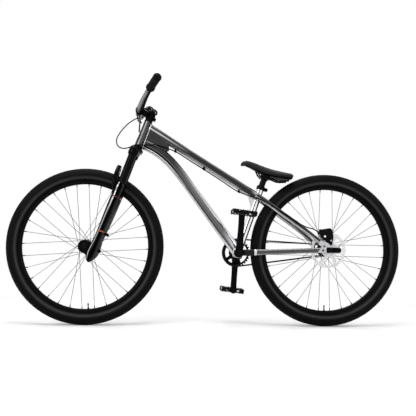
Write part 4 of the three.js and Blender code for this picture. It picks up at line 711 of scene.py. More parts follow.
# Cups and rings are turned round the lines of their tubes, the axle and its blocks about the wheel
def buildFrameParts():
    low, high = headTube["low"], headTube["high"]
    axis, foot = steering["axis"], steering["foot"]
    profile = [(14.8, low - 7), (18, low - 7), (20, low - 5.5), (20.5, low - 3.5), (20.5, low - 0.6),
               (14.8, low - 0.4)]
    piece("lowerCup", [turned(profile, foot, axis, 56)], "satinBlack", "frame", ["headset_lower_cup"])
    profile = [(14.8, high + 0.4), (18, high + 0.4), (18, high + 3), (17, high + 4), (17.6, high + 5),
               (16, high + 8), (14.8, high + 8)]
    piece("upperCup", [turned(profile, foot, axis, 56)], "satinBlack", "frame", ["headset_upper_cup"])
    cups = []
    for side in (-1, 1):
        cups.append(button(shell["centre"], (0, 1, 0), 20.8, *span(side, 36.9, 40.6), bore=12.5))
        x, _, z = shell["centre"]
        notch = [standOn((x + 19.2 * np.cos(a), side * 38.7, z + 19.2 * np.sin(a)), (0, side, 0))
                 for a in np.arange(0, 2 * np.pi, np.pi / 8)]
        cups.append(copies(button((0, 0, 0), (0, 0, 1), 1.9, -1.6, 2.6, 0.4, 8), notch))
    piece("bracketCups", cups, "satinBlack", "frame", ["bottom_bracket"])

    top = seatTube["length"]
    ring = [(15.9, top - 17), (18.8, top - 17), (19.6, top - 16), (19.6, top - 1), (18.8, top), (15.9, top)]
    patches = [turned(ring, seatLine["foot"], seatLine["axis"], 48)]
    ear = [(16, top - 16), (29, top - 15), (31, top - 12), (31, top - 4.5), (29, top - 1.5), (16, top - 1)]
    for a, b in ((-9, -1.2), (1.2, 9)):
        patch = plate([ear], a, b, 1)
        patches.append(carry(patch, onSeat))
    piece("seatClamp", patches, "satinBlack", "frame", ["seat_clamp"])
    boltAt = onSeat([(23.3, 0, top - 8.5)])[0]
    bolt = [screws([boltAt + [0, side * 9.3, 0]], (0, side, 0), 4.4, 3.8, 6) for side in (-1, 1)]
    piece("seatClampBolt", bolt, "blackSteel", "frame", ["seat_clamp_bolt"])

    axle = []
    for name, side in sides.items():
        outline = [(514, 326), (517, 324), (570, 325), (576, 328), (577, 336), (576, 344), (570, 347), (517, 348),
                   (514, 346)]
        loops = [outline, circle(526, 336, 6.5), circle(560, 336, 3.4, 16)]
        patches = [plate(loops, *span(side, 74.2, 80), 1.2)]
        patches.append(plate([[(545, 330), (573, 331), (573, 341), (545, 342)]], *span(side, 80, 81.4), 0.6))
        piece(name + "AxleBlock", patches, "glossBlack", "frame", ["axle_block_" + name])
        nut = circle(526, 336, 9.6, 6, 0.3)
        axle.append(plate([nut], *span(side, 80.8, 87), 0.9))
        axle.append(button(axleAt["rear"], (0, 1, 0), 11, *span(side, 80.2, 81.4), 0.3))
        axle.append(button(axleAt["rear"], (0, 1, 0), 5.4, *span(side, 86, 89.5), 0.8, 20))
        axle.append(screws([(560, side * 80.4, 336)], (0, side, 0), 3.2, 3))
    axle.append(button(axleAt["rear"], (0, 1, 0), 5.6, -80, 80, 0.5, 20))
    piece("rearAxle", axle, "blackSteel", "frame", ["rear_axle"])


buildFrameParts()
print("frame fittings built")


# ---- wheels

tyre = {"centreRadius": 307.6, "half": 28.4, "knobHeight": 2.3, "rings": 960, "section": 60, "pitch": 176,
        "rows": 9, "foot": 280.6}


# A tyre: round the wheel goes a round section, whose crown is raised where a cosine along the wheel and one
# across it are both high, every second row half a step on, and whose foot is held flat on the rim
def tyrePatch(centre, t):
    turn = np.linspace(0, 2 * np.pi, t["rings"], endpoint=False)[:, None]
    sweep = np.linspace(-np.pi, np.pi, t["section"], endpoint=False)
    sweep = (sweep + 0.32 * np.sin(sweep) * 0.4)[None, :]
    tread = np.clip((1.28 - np.abs(sweep)) * 9, 0, 1)
    row = np.floor((sweep / 1.32 + 1) / 2 * t["rows"])
    rowWave = 0.5 + 0.5 * np.cos(2 * np.pi * ((sweep / 1.32 + 1) / 2 * t["rows"] - 0.5))
    knobWave = 0.5 + 0.5 * np.cos(turn * t["pitch"] + np.pi * (row % 2))
    knob = np.clip((knobWave - 0.28) * 4, 0, 1) * np.clip((rowWave - 0.12) * 5, 0, 1)
    ridge = sum(height * np.exp(-(((np.abs(sweep) - at) / 0.05) ** 2)) for height, at in ((0.5, 1.42), (0.6, 2.35)))
    lift = t["half"] - t["knobHeight"] * 0.9 + tread * knob * t["knobHeight"] + ridge
    lift = lift + (1 - np.clip((1.36 - np.abs(sweep)) * 9, 0, 1)) * t["knobHeight"] * 0.8
    radius = np.maximum(t["centreRadius"] + lift * np.cos(sweep), t["foot"])
    side = lift * np.sin(sweep) * np.where(np.abs(sweep) > 2.5, 0.92, 1) + 0 * turn
    radius = radius + 0 * turn
    grid = np.stack([radius * np.cos(turn), side, radius * np.sin(turn)], axis=2) + np.array(centre, float)
    points, faces, uv = gridPatch(grid, along=True)
    uv[:, 0] = np.abs(2 * uv[:, 0] - 1)
    return points, faces, uv


rim = {
    "profile": mirrored([(267.6, 0), (267.6, 4), (268.4, 7.5), (271, 11), (275, 13), (279.5, 13.6), (283.2, 14.2),
                         (283.8, 13.6), (283.6, 12.6), (280.8, 12.2), (280.4, 9), (279.8, 0)]),
}
spoke = {"radius": 1.15, "perSide": 16, "crossings": 3, "hub": 26, "reach": 267.4, "flange": 31.2, "stagger": 1.3,
         "rimSpread": 2.6, "nippleLength": 11, "nippleRadius": 2.1, "turn": {"front": 3.9, "rear": -0.65}}
hub = {
    "front": mirrored([(10.4, -54), (14, -54), (15.5, -52.5), (15.5, -44), (19, -42), (20, -38), (20, -34),
                       (29.2, -32.6), (29.5, -31), (29.2, -28.6), (22, -27.4), (16.5, -22), (14.6, -12),
                       (14.2, 0)]),
    "rear": [(6.4, -51), (19, -51), (20, -50), (20, -36), (29.2, -33), (29.5, -31), (29.2, -28.6), (23, -27),
             (18.5, -20), (17, -8), (17, 8), (18.5, 20), (23, 27), (29.2, 28.6), (29.5, 31), (29.2, 33),
             (21, 35), (20, 38), (19.5, 46), (6.4, 46)],
}
valve = {"length": 25, "radius": 2.9, "start": 268, "threads": 9, "threadPitch": 1.3}


# The spokes of one side: each runs from a hub hole to the rim three crossings on, alternate ones the other way,
# with a bent head through the flange and a nipple at the rim
def spokePatches(centre, side, turn, s):
    step = 2 * np.pi / s["perSide"]
    k = np.arange(s["perSide"])
    way = np.where(k % 2 == 0, 1, -1) * side
    hubAngle = k * step + turn + side * step / 4
    rimAngle = hubAngle + way * s["crossings"] * step
    centre = np.asarray(centre, float)

    def at(radius, angle, y):
        return centre + np.stack([radius * np.cos(angle), side * y, radius * np.sin(angle)], axis=-1)

    inner = at(s["hub"], hubAngle, s["flange"] + 0.6 + way * s["stagger"])
    outer = at(s["reach"], rimAngle, s["rimSpread"] + 0 * k)
    wires, heads, nipples = [], [], []
    for a, b, w in zip(inner, outer, way):
        wires.append(tube([[*a, s["radius"]], [*b, s["radius"]]], 2, 8, side=(0, 1, 0), bevel=0.2, smooth=False))
        back = a - np.array([0, side * w * 3.6, 0])
        heads.append(tube([[*back, s["radius"]], [*a, s["radius"]]], 2, 8, side=(1, 0, 0), bevel=0.4, smooth=False))
        heads.append(button(back, (0, 1, 0), 1.9, -0.6, 0.6, 0.3, 10))
        down = unit(a - b)
        start, end = b - down * 0.5, b + down * s["nippleLength"]
        nipples.append(tube([[*start, s["nippleRadius"]], [*(b + down * 7), s["nippleRadius"]],
                             [*end, s["radius"] + 0.35]], 3, 8, bevel=0.2, smooth=False))
    return wires + heads, nipples


# A wheel about its axle. The valve stands at the bottom of the rim, turned on by an angle.
def buildWheel(end):
    centre, body, turn = axleAt[end], end + "_wheel", np.radians(spoke["turn"][end])
    piece(end + "Tyre", [tyrePatch(centre, tyre)], "tyreRubberPaintedSheen", body, [end + "_tyre"], 60)
    piece(end + "Rim", [turned(rim["profile"], centre, around=160)], "anodisedBlack", body, [end + "_rim"], 30)
    allNipples = []
    for name, side in sides.items():
        wires, nipples = spokePatches(centre, side, turn, spoke)
        allNipples += nipples
        piece(end + "Spokes" + name.title(), wires, "spokeSteel", body, [end + "_spokes_" + name])
    piece(end + "Nipples", allNipples, "satinBlack", body)
    piece(end + "Hub", [turned(hub[end], centre, around=72)], "anodisedBlack", body, [end + "_hub"], 30)
    down = np.array([np.sin(turn), 0, -np.cos(turn)])
    foot = np.asarray(centre, float) + down * valve["start"]
    r, length = valve["radius"], valve["length"]
    profile = [(0, 0), (5, 0), (5, 2.2), (r + 0.9, 2.6), (r + 0.9, 4), (r, 4.4)]
    for k in range(valve["threads"]):
        profile += [(r, 4.8 + k * valve["threadPitch"]), (r - 0.35, 5.4 + k * valve["threadPitch"])]
    profile += [(r, 17), (r + 0.5, 17.5), (r + 0.5, length - 2.5), (r - 0.6, length - 0.5), (0, length - 0.3)]
    piece(end + "Valve", [turned(profile, foot, -down, 24, closed=False)], "blackAnodised", body, [end + "_valve"])


buildWheel("front")
buildWheel("rear")

rotor = {"radius": 79.5, "wave": 1.4, "waves": 12, "band": 14, "offset": -52.5, "half": 0.9, "holes": 30, "arms": 6,
         "windowRadius": 30, "boltCircle": 24}


# The rotor: a ring whose edge is a circle plus a cosine, pierced by holes and by windows between slanting arms
def buildRotor(r):
    x, _, z = axleAt["rear"]
    turn = np.linspace(0, 2 * np.pi, 192, endpoint=False)
    edge = r["radius"] - r["wave"] + r["wave"] * np.cos(turn * r["waves"])
    loops = [arcAt(x, z, edge, turn)]
    inner = r["radius"] - r["band"]
    t = np.linspace(0, 1, 12)
    for k in range(r["arms"]):
        start = 2 * np.pi * k / r["arms"]
        outer = arcAt(x, z, inner, start + 0.10 + t * 0.8)
        loops.append(np.concatenate([outer, arcAt(x, z, r["windowRadius"], start + 0.46 + t[::-1] * 0.62)]))
    for k in range(r["holes"]):
        a = 2 * np.pi * k / r["holes"]
        for radius, size, lag in ((inner + 4, 1.7, 0), (inner + 8.6, 1.9, 0.5)):
            b = a + lag * 2 * np.pi / r["holes"]
            loops.append(circle(x + radius * np.cos(b), z + radius * np.sin(b), size, 10))
    patches = [plate(loops, r["offset"] - r["half"], r["offset"] + r["half"], 0.15)]
    patches.append(button((x, 0, z), (0, 1, 0), 20, -66.5, r["offset"] + 0.5, 1, 40, bore=6.5))
    bolts = arcAt(x, z, r["boltCircle"], np.arange(6) * np.pi / 3)
    patches.append(screws([(a, r["offset"] - r["half"], b) for a, b in bolts], (0, -1, 0), 3.4, 2.2))
    piece("brakeRotor", patches, "rotorSteel", "rear_wheel", ["rear_brake_rotor"], 30)


buildRotor(rotor)
print("wheels built")


# ---- drive

drive = {"pitch": 12.7, "line": 48, "ringTeeth": 30, "cogTeeth": 12, "rollerRadius": 3.9, "plateHalf": 4.1,
         "windows": 5, "windowShare": 0.76, "windowRadii": (33, 49)}


# A toothed outline: the radius follows a narrowed cosine, one wave to a tooth
def toothed(centre, teeth, steps=10, tooth=3.4):
    pitch = drive["pitch"] / (2 * np.sin(np.pi / teeth))
    angle = np.linspace(0, 2 * np.pi, teeth * steps, endpoint=False)
    wave = np.cos(angle * teeth)
    radius = pitch + tooth * np.sign(wave) * np.abs(wave) ** 0.7 - 0.4
    return arcAt(centre[0], centre[2], radius, angle)


# The windows leave arms between them: each window takes a share of its even part of the circle
def buildChainring():
    c = shell["centre"]
    loops = [toothed(c, drive["ringTeeth"])]
    t, (low, high), count, share = np.linspace(0, 1, 10), drive["windowRadii"], drive["windows"], drive["windowShare"]
    for k in range(count):
        start = 2 * np.pi * (k + 0.12) / count
        outer = arcAt(c[0], c[2], high, start + t * share * 2 * np.pi / count)
        inner = arcAt(c[0], c[2], low, start + (0.08 + t[::-1] * 0.84) * share * 2 * np.pi / count)
        loops.append(np.concatenate([outer, inner]))
    loops.append(circle(c[0], c[2], 18.5, 32))
    y = drive["line"]
    patches = [plate(loops, y - 1.5, y + 1.5, 0.6)]
    piece("chainring", patches, "glossBlack", "crank", ["chainring"], 30)


# A toothed plate on a sleeve that reaches outwards
def buildCog():
    c = axleAt["rear"]
    y = drive["line"]
    patches = [plate([toothed(c, drive["cogTeeth"], 12), circle(c[0], c[2], 6.4, 24)], y - 1.5, y + 1.5, 0.5)]
    patches.append(button(c, (0, 1, 0), 15, y + 0.5, 67, 0.8, 40, bore=6.5))
    piece("rearCog", patches, "brushedSteel", "rear_cog", ["rear_cog"], 30)


# The chain's line: straight runs that touch both pitch circles, stepped at the pitch of the links
def chainLine():
    a, b = np.array(shell["centre"], float)[[0, 2]], np.array(axleAt["rear"], float)[[0, 2]]
    big, small = [drive["pitch"] / (2 * np.sin(np.pi / drive[k])) for k in ("ringTeeth", "cogTeeth")]
    line = b - a
    base, spread = np.arctan2(line[1], line[0]), np.arccos((big - small) / np.linalg.norm(line))
    first = np.linspace(base + spread, base + 2 * np.pi - spread, 200)
    last = np.linspace(base - spread, base + spread, 100)
    loop = np.concatenate([arcAt(*a, big, first), arcAt(*b, small, last)])
    loop = np.concatenate([loop, loop[:1]])
    reach = np.concatenate([[0], np.cumsum(np.linalg.norm(np.diff(loop, axis=0), axis=1))])
    links = 2 * int(round(reach[-1] / drive["pitch"] / 2))
    at = np.linspace(0, reach[-1], links, endpoint=False)
    return np.stack([np.interp(at, reach, loop[:, 0]), np.interp(at, reach, loop[:, 1])], axis=1)


# A link plate lies along local x: two round ends drawn in at the waist
def linkPatch(half):
    turn = np.linspace(0, 2 * np.pi, 20, endpoint=False)
    x = np.where(np.cos(turn) > 0, 1, -1) * drive["pitch"] / 2 + drive["plateHalf"] * np.cos(turn)
    z = drive["plateHalf"] * np.sin(turn) * (0.72 + 0.28 * np.abs(np.cos(turn)) ** 0.5)
    return plate([np.stack([x, z], axis=1)], -half, half, 0.2)


# Every second link stands further out, and a pin and a roller stand at each pitch of the line
def buildChain():
    pins = chainLine()
    after = np.roll(pins, -1, 0)
    middle, along = (pins + after) / 2, unit(after - pins)
    outerLinks, innerLinks = [], []
    for k, (m, d) in enumerate(zip(middle, along)):
        spread = 3.3 if k % 2 == 0 else 2.3
        for side in (-1, 1):
            matrix = [[d[0], 0, -d[1], m[0]], [0, 1, 0, drive["line"] + side * spread], [d[1], 0, d[0], m[1]]]
            (outerLinks if k % 2 == 0 else innerLinks).append(matrix)
    pinPlaces = [standOn((p[0], drive["line"], p[1]), (0, 1, 0)) for p in pins]
    pin = button((0, 0, 0), (0, 0, 1), 1.9, -4.2, 4.2, 0.3, 8)
    roller = button((0, 0, 0), (0, 0, 1), drive["rollerRadius"], -1.75, 1.75, 0.3, 12)
    patches = [copies(linkPatch(0.5), outerLinks), copies(linkPatch(0.45), innerLinks), copies(pin, pinPlaces),
               copies(roller, pinPlaces)]
    piece("chain", patches, "chainSteel", "frame", ["chain"], 30)


buildChainring()
buildCog()
buildChain()

crank = {"length": 170, "tilt": 0.04, "left": 50.8, "right": 56.8, "tip": 73.5, "axleEnd": 168}
pedal = {"gap": 82.5, "width": 96, "half": 50.5, "thick": 19.5, "pitch": 7, "rail": 7}


# The pedal's place, at the crank's length from the bracket along a line that leans by the tilt
def crankTip(side):
    (x, _, z), lean, length = shell["centre"], crank["tilt"], side * crank["length"]
    return np.array([x - length * np.sin(lean), 0, z - length * np.cos(lean)])


# An arm goes from boss to tip in shares of its length while it moves outwards
def buildCranks():
    c = np.array(shell["centre"], float)
    for name, side in sides.items():
        tip = crankTip(side)
        boss = crank[name]
        steps = [(-0.07, 0, 5.5, 12), (-0.03, 0, 6.6, 16.5), (0.04, 0.02, 7, 17.5), (0.14, 0.12, 6.4, 16.4),
                 (0.5, 0.6, 5.4, 13.4), (0.85, 0.95, 5.8, 13.4), (0.98, 1, 6.4, 13.6), (1.05, 1, 6, 10),
                 (1.07, 1, 5, 6)]
        rows = []
        for out, step, wide, deep in steps:
            at = c + (tip - c) * out
            rows.append([at[0], side * (boss + (crank["tip"] - boss) * step), at[2], wide, deep])
        patches = [tube(rows, 50, 32, power=3)]
        patches.append(button(c, (0, 1, 0), 17.6, *span(side, boss - 6.6, boss + 6.8), 1.4, 48))
        patches.append(button(tip, (0, 1, 0), 13.6, *span(side, 66.8, 80.2), 1.6, 40))
        if side > 0:
            for k in range(4):
                a = np.pi * (2 * k + 1) / 4
                far = c + 34 * np.array([np.cos(a), 0, np.sin(a)])
                spider = [[c[0], 52.6, c[2], 2.6, 9], [(c[0] + far[0]) / 2, 52.6, (c[2] + far[2]) / 2, 2.6, 7],
                          [far[0], 52.4, far[2], 2.4, 6]]
                patches.append(tube(spider, 10, 16, power=4))
        piece(name + "CrankArm", patches, "glossBlack", "crank", ["crank_arm_" + name], 34)
        cap = [button(c, (0, 1, 0), 12.4, *span(side, boss + 6.4, boss + 8.2), 0.7, 40),
               screws([c + [0, side * (boss + 8), 0]], (0, side, 0), 7, 2.2)]
        piece(name + "CrankCap", cap, "satinBlack", "crank")
        axle = [button(tip, (0, 1, 0), 6.6, *span(side, 66.6, crank["axleEnd"]), 0.8, 28),
                screws([tip + [0, side * 66.8, 0]], (0, -side, 0), 5.4, 1.6),
                button(tip, (0, 1, 0), 8.6, *span(side, 80.6, 82.1), 0.3, 28)]
        piece(name + "PedalAxle", axle, "blackSteel", "crank", ["pedal_axle_" + name])
    quarters = np.pi * (2 * np.arange(4) + 1) / 4
    rings = [screws([(c[0] + 33 * np.cos(a), 54.8, c[2] + 33 * np.sin(a)) for a in quarters], (0, 1, 0), 4.4, 2)]
    spindle = button(c, (0, 1, 0), 11.8, -57, 63, 0.5, 32)
    piece("crankSpindle", [spindle] + rings, "brushedSteel", "crank", ["crank_spindle"])


# A pedal: two side rails pierced by windows, end bars and a barrel between them, with grip pins on both faces
def buildPedal(name, side):
    tip, p = crankTip(side), pedal
    half, t = p["half"], p["thick"] / 2
    low, high = span(side, p["gap"], p["gap"] + p["width"])
    rail = [(-half, -t * 0.8), (-half + 3, -t), (-20, -t * 0.95), (0, -t), (20, -t * 0.95), (half - 3, -t),
            (half, -t * 0.8)]
    rail += [(x, -z) for x, z in rail[::-1]]
    windows, slits = [[[(s * x, t * z) for x, z in hole] for s in (-1, 1)] for hole in (
        [(15, -0.6), (40, -0.62), (45, 0), (40, 0.62), (15, 0.6), (12, 0)],
        [(18, -0.56), (29, -0.62), (30, 0), (29, 0.62), (18, 0.56)])]
    patches = [plate([rail] + slits, low, low + p["rail"], 1), plate([rail] + windows, high - p["rail"], high, 1)]
    middle = (low + high) / 2
    for s in (-1, 1):
        for z in (-t * 0.72, t * 0.72):
            for x, wide, deep in ((s * (half - 3.4), 3.2, 2.2), (s * 27, 2.6, 1.8)):
                rows = [[x, y, z, wide, deep] for y in (low + 3, high - 3)]
                patches.append(tube(rows, 2, 16, side=(1, 0, 0), power=4, smooth=False))
    patches.append(button((0, 0, 0), (0, 1, 0), 10.2, low + 0.4, high - 0.4, 1.2, 36))
    corners = [(x * (half - 4), z * t * 0.72) for x, z in ((-1, -1), (1, -1), (1, 1), (-1, 1))]
    patches.append(plate([corners] + windows, middle - 3, middle + 3, 0.8))
    pinPlaces = []
    for s in (-1, 1):
        for x in (-half + 5, -half + 18, -9, 9, half - 18, half - 5):
            for y in (low + 3.6, high - 3.6):
                pinPlaces.append(standOn((x, y, s * t * 0.84), (0, 0, s)))
        for x in (-half + 3.6, half - 3.6):
            for y in (low + 30, high - 30, middle):
                pinPlaces.append(standOn((x, y, s * t * 0.84), (0, 0, s)))
    pins = copies(button((0, 0, 0), (0, 0, 1), 1.7, 0, 3.6, 0.4, 8), pinPlaces)
    lean = np.radians(p["pitch"])
    piece(name + "Pedal", tilted(patches, lean, tip), "pedalPlastic", "pedal_" + name, ["pedal_" + name])
    piece(name + "PedalPins", tilted([pins], lean, tip), "satinBlack", "pedal_" + name)


buildCranks()
buildPedal("left", -1)
buildPedal("right", 1)
print("drive built")


# ---- fork, in the steering frame

fork = {"spacing": 65, "offset": 9.5, "lowOffset": 15.5, "axleBack": 58.8, "stanchion": 16.5,
        "bands": [(240, 21.85, 0.27), (82, 18.5, 1.1)]}  # height, radius, lean


# A row of a fork leg: its distance in front of the axis grows evenly with the lean
def legRow(side, height, radius, lean=0.0):
    return (-fork["offset"] - (fork["lowOffset"] - fork["offset"]) * lean, side * fork["spacing"], height, radius)


# The legs narrow downwards row by row. Arch and crown are half lines, turned over to the other side.
def buildFork():
    axis = steering["axis"]
    patches, legs, rings = [], [], []
    for name, side in sides.items():
        rows = [legRow(side, 304, 20.2), legRow(side, 301, 21.4), legRow(side, 262, 21.8, 0.15),
                legRow(side, 200, 21.6, 0.45), legRow(side, 131, 20.2, 0.75), legRow(side, 91, 18.6, 1),
                legRow(side, 49, 17.6, 1.35), legRow(side, -36, 17, 2.1), legRow(side, -45, 12.5, 2.25),
                legRow(side, -53, 7.5, 2.4)]
        legs.append(tube(inFork(rows), 70, 40, side=(0, -1, 0)))
        bands = [turned([(r, h), (r + 0.25, h + 0.3), (r + 0.25, h + 4.7), (r, h + 5), (r - 0.6, h + 2.5)],
                        inFork([(legRow(side, h, 0, lean)[0], side * fork["spacing"], 0)])[0], axis, 48)
                 for h, r, lean in fork["bands"]]
        rings.append(bands)
        inner, outer = span(side, 55.2, 75)
        boss = button((-fork["axleBack"], 0, 0), (0, 1, 0), 27.6, inner, outer, 2.4, 56, bore=10.4)
        patches.append(carry(boss, inFork))
        web = plate([[(-fork["axleBack"] - 4, -24), (-20, -38), (-16, 30), (-fork["axleBack"] - 2, 25)]],
                    *span(side, 58, 72), 2.5)
        patches.append(carry(web, inFork))
        ring = [(16.9, 305.4), (19.4, 305.4), (20, 306.2), (19.8, 308), (18.4, 309.5), (18.2, 311.6), (16.9, 312)]
        foot = inFork([(-fork["offset"], side * fork["spacing"], 0)])[0]
        piece(name + "Wiper", [turned(ring, foot, axis, 48)], "gripRubber", "lowers", ["wiper_" + name])
        rows = inFork([legRow(side, height, fork["stanchion"]) for height in (231, 463)])
        piece(name + "Stanchion", [tube(rows, 4, 48)], "anodisedBlack", "steering", ["stanchion_" + name])
    archRows = [(1, 0, 0.6), (0.97, 0.2, 0.86), (0.88, 0.45, 0.96), (0.7, 0.75, 1), (0.42, 0.95, 1), (0, 1, 1)]
    ordered = [(-1, *r) for r in archRows] + [(1, *r) for r in archRows[-2::-1]]
    for ahead, low, rise, wide, deep, around in ((46, 285, 88, 9.5, 8.5, 28), (44, 268, 84, 6, 4, 20)):
        rows = [(-ahead * forward, s * out * fork["spacing"], low + rise * climb, wide, deep)
                for s, out, climb, forward in ordered]
        patches.append(tube(inFork(rows), 60, around, side=steering["rear"], power=3))
    for height, reach in ((78, 20), (3, 13)):
        tab = plate([[(-8, height - 7), (reach, height - 6), (reach + 2, height + 1), (reach - 3, height + 7),
                      (-8, height + 8)]], -68, -59, 1.2)
        patches.append(carry(tab, inFork))
    piece("forkLowers", patches, "glossBlack", "lowers", ["fork_lowers"], 34)
    piece("forkLegs", legs, "legBlackPaintedHighlight", "lowers")
    piece("highBands", [bands[0] for bands in rings], "wineBand", "lowers")
    piece("lowBands", [bands[1] for bands in rings], "emberBand", "lowers")

    knobs = []
    for side in (-1, 1):
        foot = inFork([(-fork["lowOffset"] - 5.2, side * fork["spacing"], -52)])[0]
        knobs.append(turned([(0, -4), (5, -4), (6, -2), (6, 3), (4, 4.5), (0, 4.5)], foot, axis, 24, closed=False))
    piece("footKnobs", knobs, "satinBlack", "lowers")

    axle = [button(axleAt["front"], (0, 1, 0), 9.8, -75.5, 75.5, 0.6, 32)]
    for side in (-1, 1):
        axle.append(button(axleAt["front"], (0, 1, 0), 12.8, *span(side, 75.6, 80), 1.2, 36))
        axle.append(screws([(-526, side * 79.6, 336)], (0, side, 0), 7.5, 1.6))
    piece("frontAxle", axle, "satinBlack", "lowers", ["front_axle"])

    patches = []
    for side in (-1, 1):
        rows = [legRow(side, 434.6, 20.4), legRow(side, 437, 21), legRow(side, 462, 21), legRow(side, 467, 20.2),
                legRow(side, 469.4, 17.6)]
        patches.append(tube(inFork(rows), 20, 40))
        cap = [(0, 469), (12, 469), (13.4, 470), (13.4, 472.4), (11.5, 473.4), (4, 473.4), (3.4, 472.4), (0, 472.4)]
        foot = inFork([(-fork["offset"], side * fork["spacing"], 0)])[0]
        patches.append(turned(cap, foot, axis, 36, closed=False))
    bridge = [(1, 1, 16.8, 9.4), (0.6, 0.75, 20, 11.2), (0.3, 0.2, 24.2, 12.5), (0, 0, 26.2, 12.5)]
    ordered = [(-1, *r) for r in bridge] + [(1, *r) for r in bridge[-2::-1]]
    rows = [(-fork["offset"] * out, s * out * fork["spacing"], 467.5 - 15.5 * fall, wide, deep)
            for s, out, fall, wide, deep in ordered]
    patches.append(tube(inFork(rows), 50, 32, side=steering["rear"], power=3))
    patches.append(button(steering["foot"], axis, 14.2, 470, 654, 0.5, 40))
    piece("forkCrown", patches, "glossBlack", "steering", ["fork_crown"], 34)


buildFork()
print("fork built")


# ---- stem, bar, grips and lever

cockpit = {"clamp": (-50.4, 0, 634.9), "half": 364, "sweep": 41.2, "rise": 82.9, "clampRadius": 15.9,
           "endRadius": 11.1, "stemLow": 610.9, "stemHigh": 648.9, "gripLength": 130, "gripRadius": 15.4,
           "ribHeight": 1.3, "ribPitch": 5.2}
bends = np.array([(0, 0, 0), (0.12, 0, 0), (0.2, 0.05, 0.07), (0.3, 0.12, 0.27), (0.41, 0.23, 0.465),
                  (0.54, 0.4, 0.676), (0.65, 0.54, 0.766), (0.8, 0.72, 0.865), (1.02, 1.02, 1.012)])
barSizes = np.array([(0, 0), (0.11, 0), (0.3, 0.4), (0.45, 0.85), (0.65, 1), (1.1, 1)])


# Points on the bar at shares of its half width: sweep and rise are read from the bends between even steps
def barRows(side, shares, radius=None):
    shares = np.asarray(shares, float)
    c = cockpit
    x = c["clamp"][0] + c["sweep"] * np.interp(shares, bends[:, 0], bends[:, 1])
    z = c["clamp"][2] + c["rise"] * np.interp(shares, bends[:, 0], bends[:, 2])
    if radius is None:
        thinning = np.interp(shares, barSizes[:, 0], barSizes[:, 1])
        radius = c["clampRadius"] + (c["endRadius"] - c["clampRadius"]) * thinning
    size = np.broadcast_to(radius, shares.shape)
    return inFork(np.stack([x, side * shares * c["half"], z, size], axis=1))


# The bar is one half and its mirror image. A grip's radius is a cosine of its length, between two plain ends.
def buildBar():
    shares = np.array([0, 0.06, 0.11, 0.16, 0.2, 0.25, 0.3, 0.355, 0.41, 0.475, 0.54, 0.595, 0.65, 0.72, 0.8,
                       0.9, 1])
    rows, half = np.concatenate([barRows(-1, shares[:0:-1]), barRows(1, shares)]), cockpit["half"]
    piece("handlebar", [tube(rows, 140, 32, side=steering["axis"])], "barGreyPaintedShade", "steering", ["handlebar"])
    for name, side in sides.items():
        start, stop = 1 - cockpit["gripLength"] / half, 1 + 3.5 / half
        share = np.linspace(start, stop, 150)
        reach = (share - start) * half
        wave = (0.5 + 0.5 * np.cos(2 * np.pi * reach / cockpit["ribPitch"])) ** 0.5
        size = cockpit["gripRadius"] + cockpit["ribHeight"] * wave
        size = np.where(reach < 5, 19, np.where(reach < 8, 17.2, size))
        size = np.where(reach > 121, 17.4 - 0.12 * np.clip(reach - 128, 0, 9) ** 2, size)
        grip = tube(barRows(side, share, size), around=40, side=steering["rear"], smooth=False, bevel=1.5)
        piece(name + "Grip", [grip], "gripRubber", "steering", ["grip_" + name], 50)
        end = barRows(side, [stop])[0]
        ahead = unit(end[:3] - barRows(side, [stop - 0.05])[0][:3])
        cap = [(0, 0), (9.5, 0), (10.5, 0.6), (10.5, 1.6), (8, 2.8), (0, 3.4)]
        plug = turned(cap, end[:3] + ahead * 0.6, ahead, 32, closed=False)
        piece(name + "BarPlug", [plug], "satinBlack", "steering")


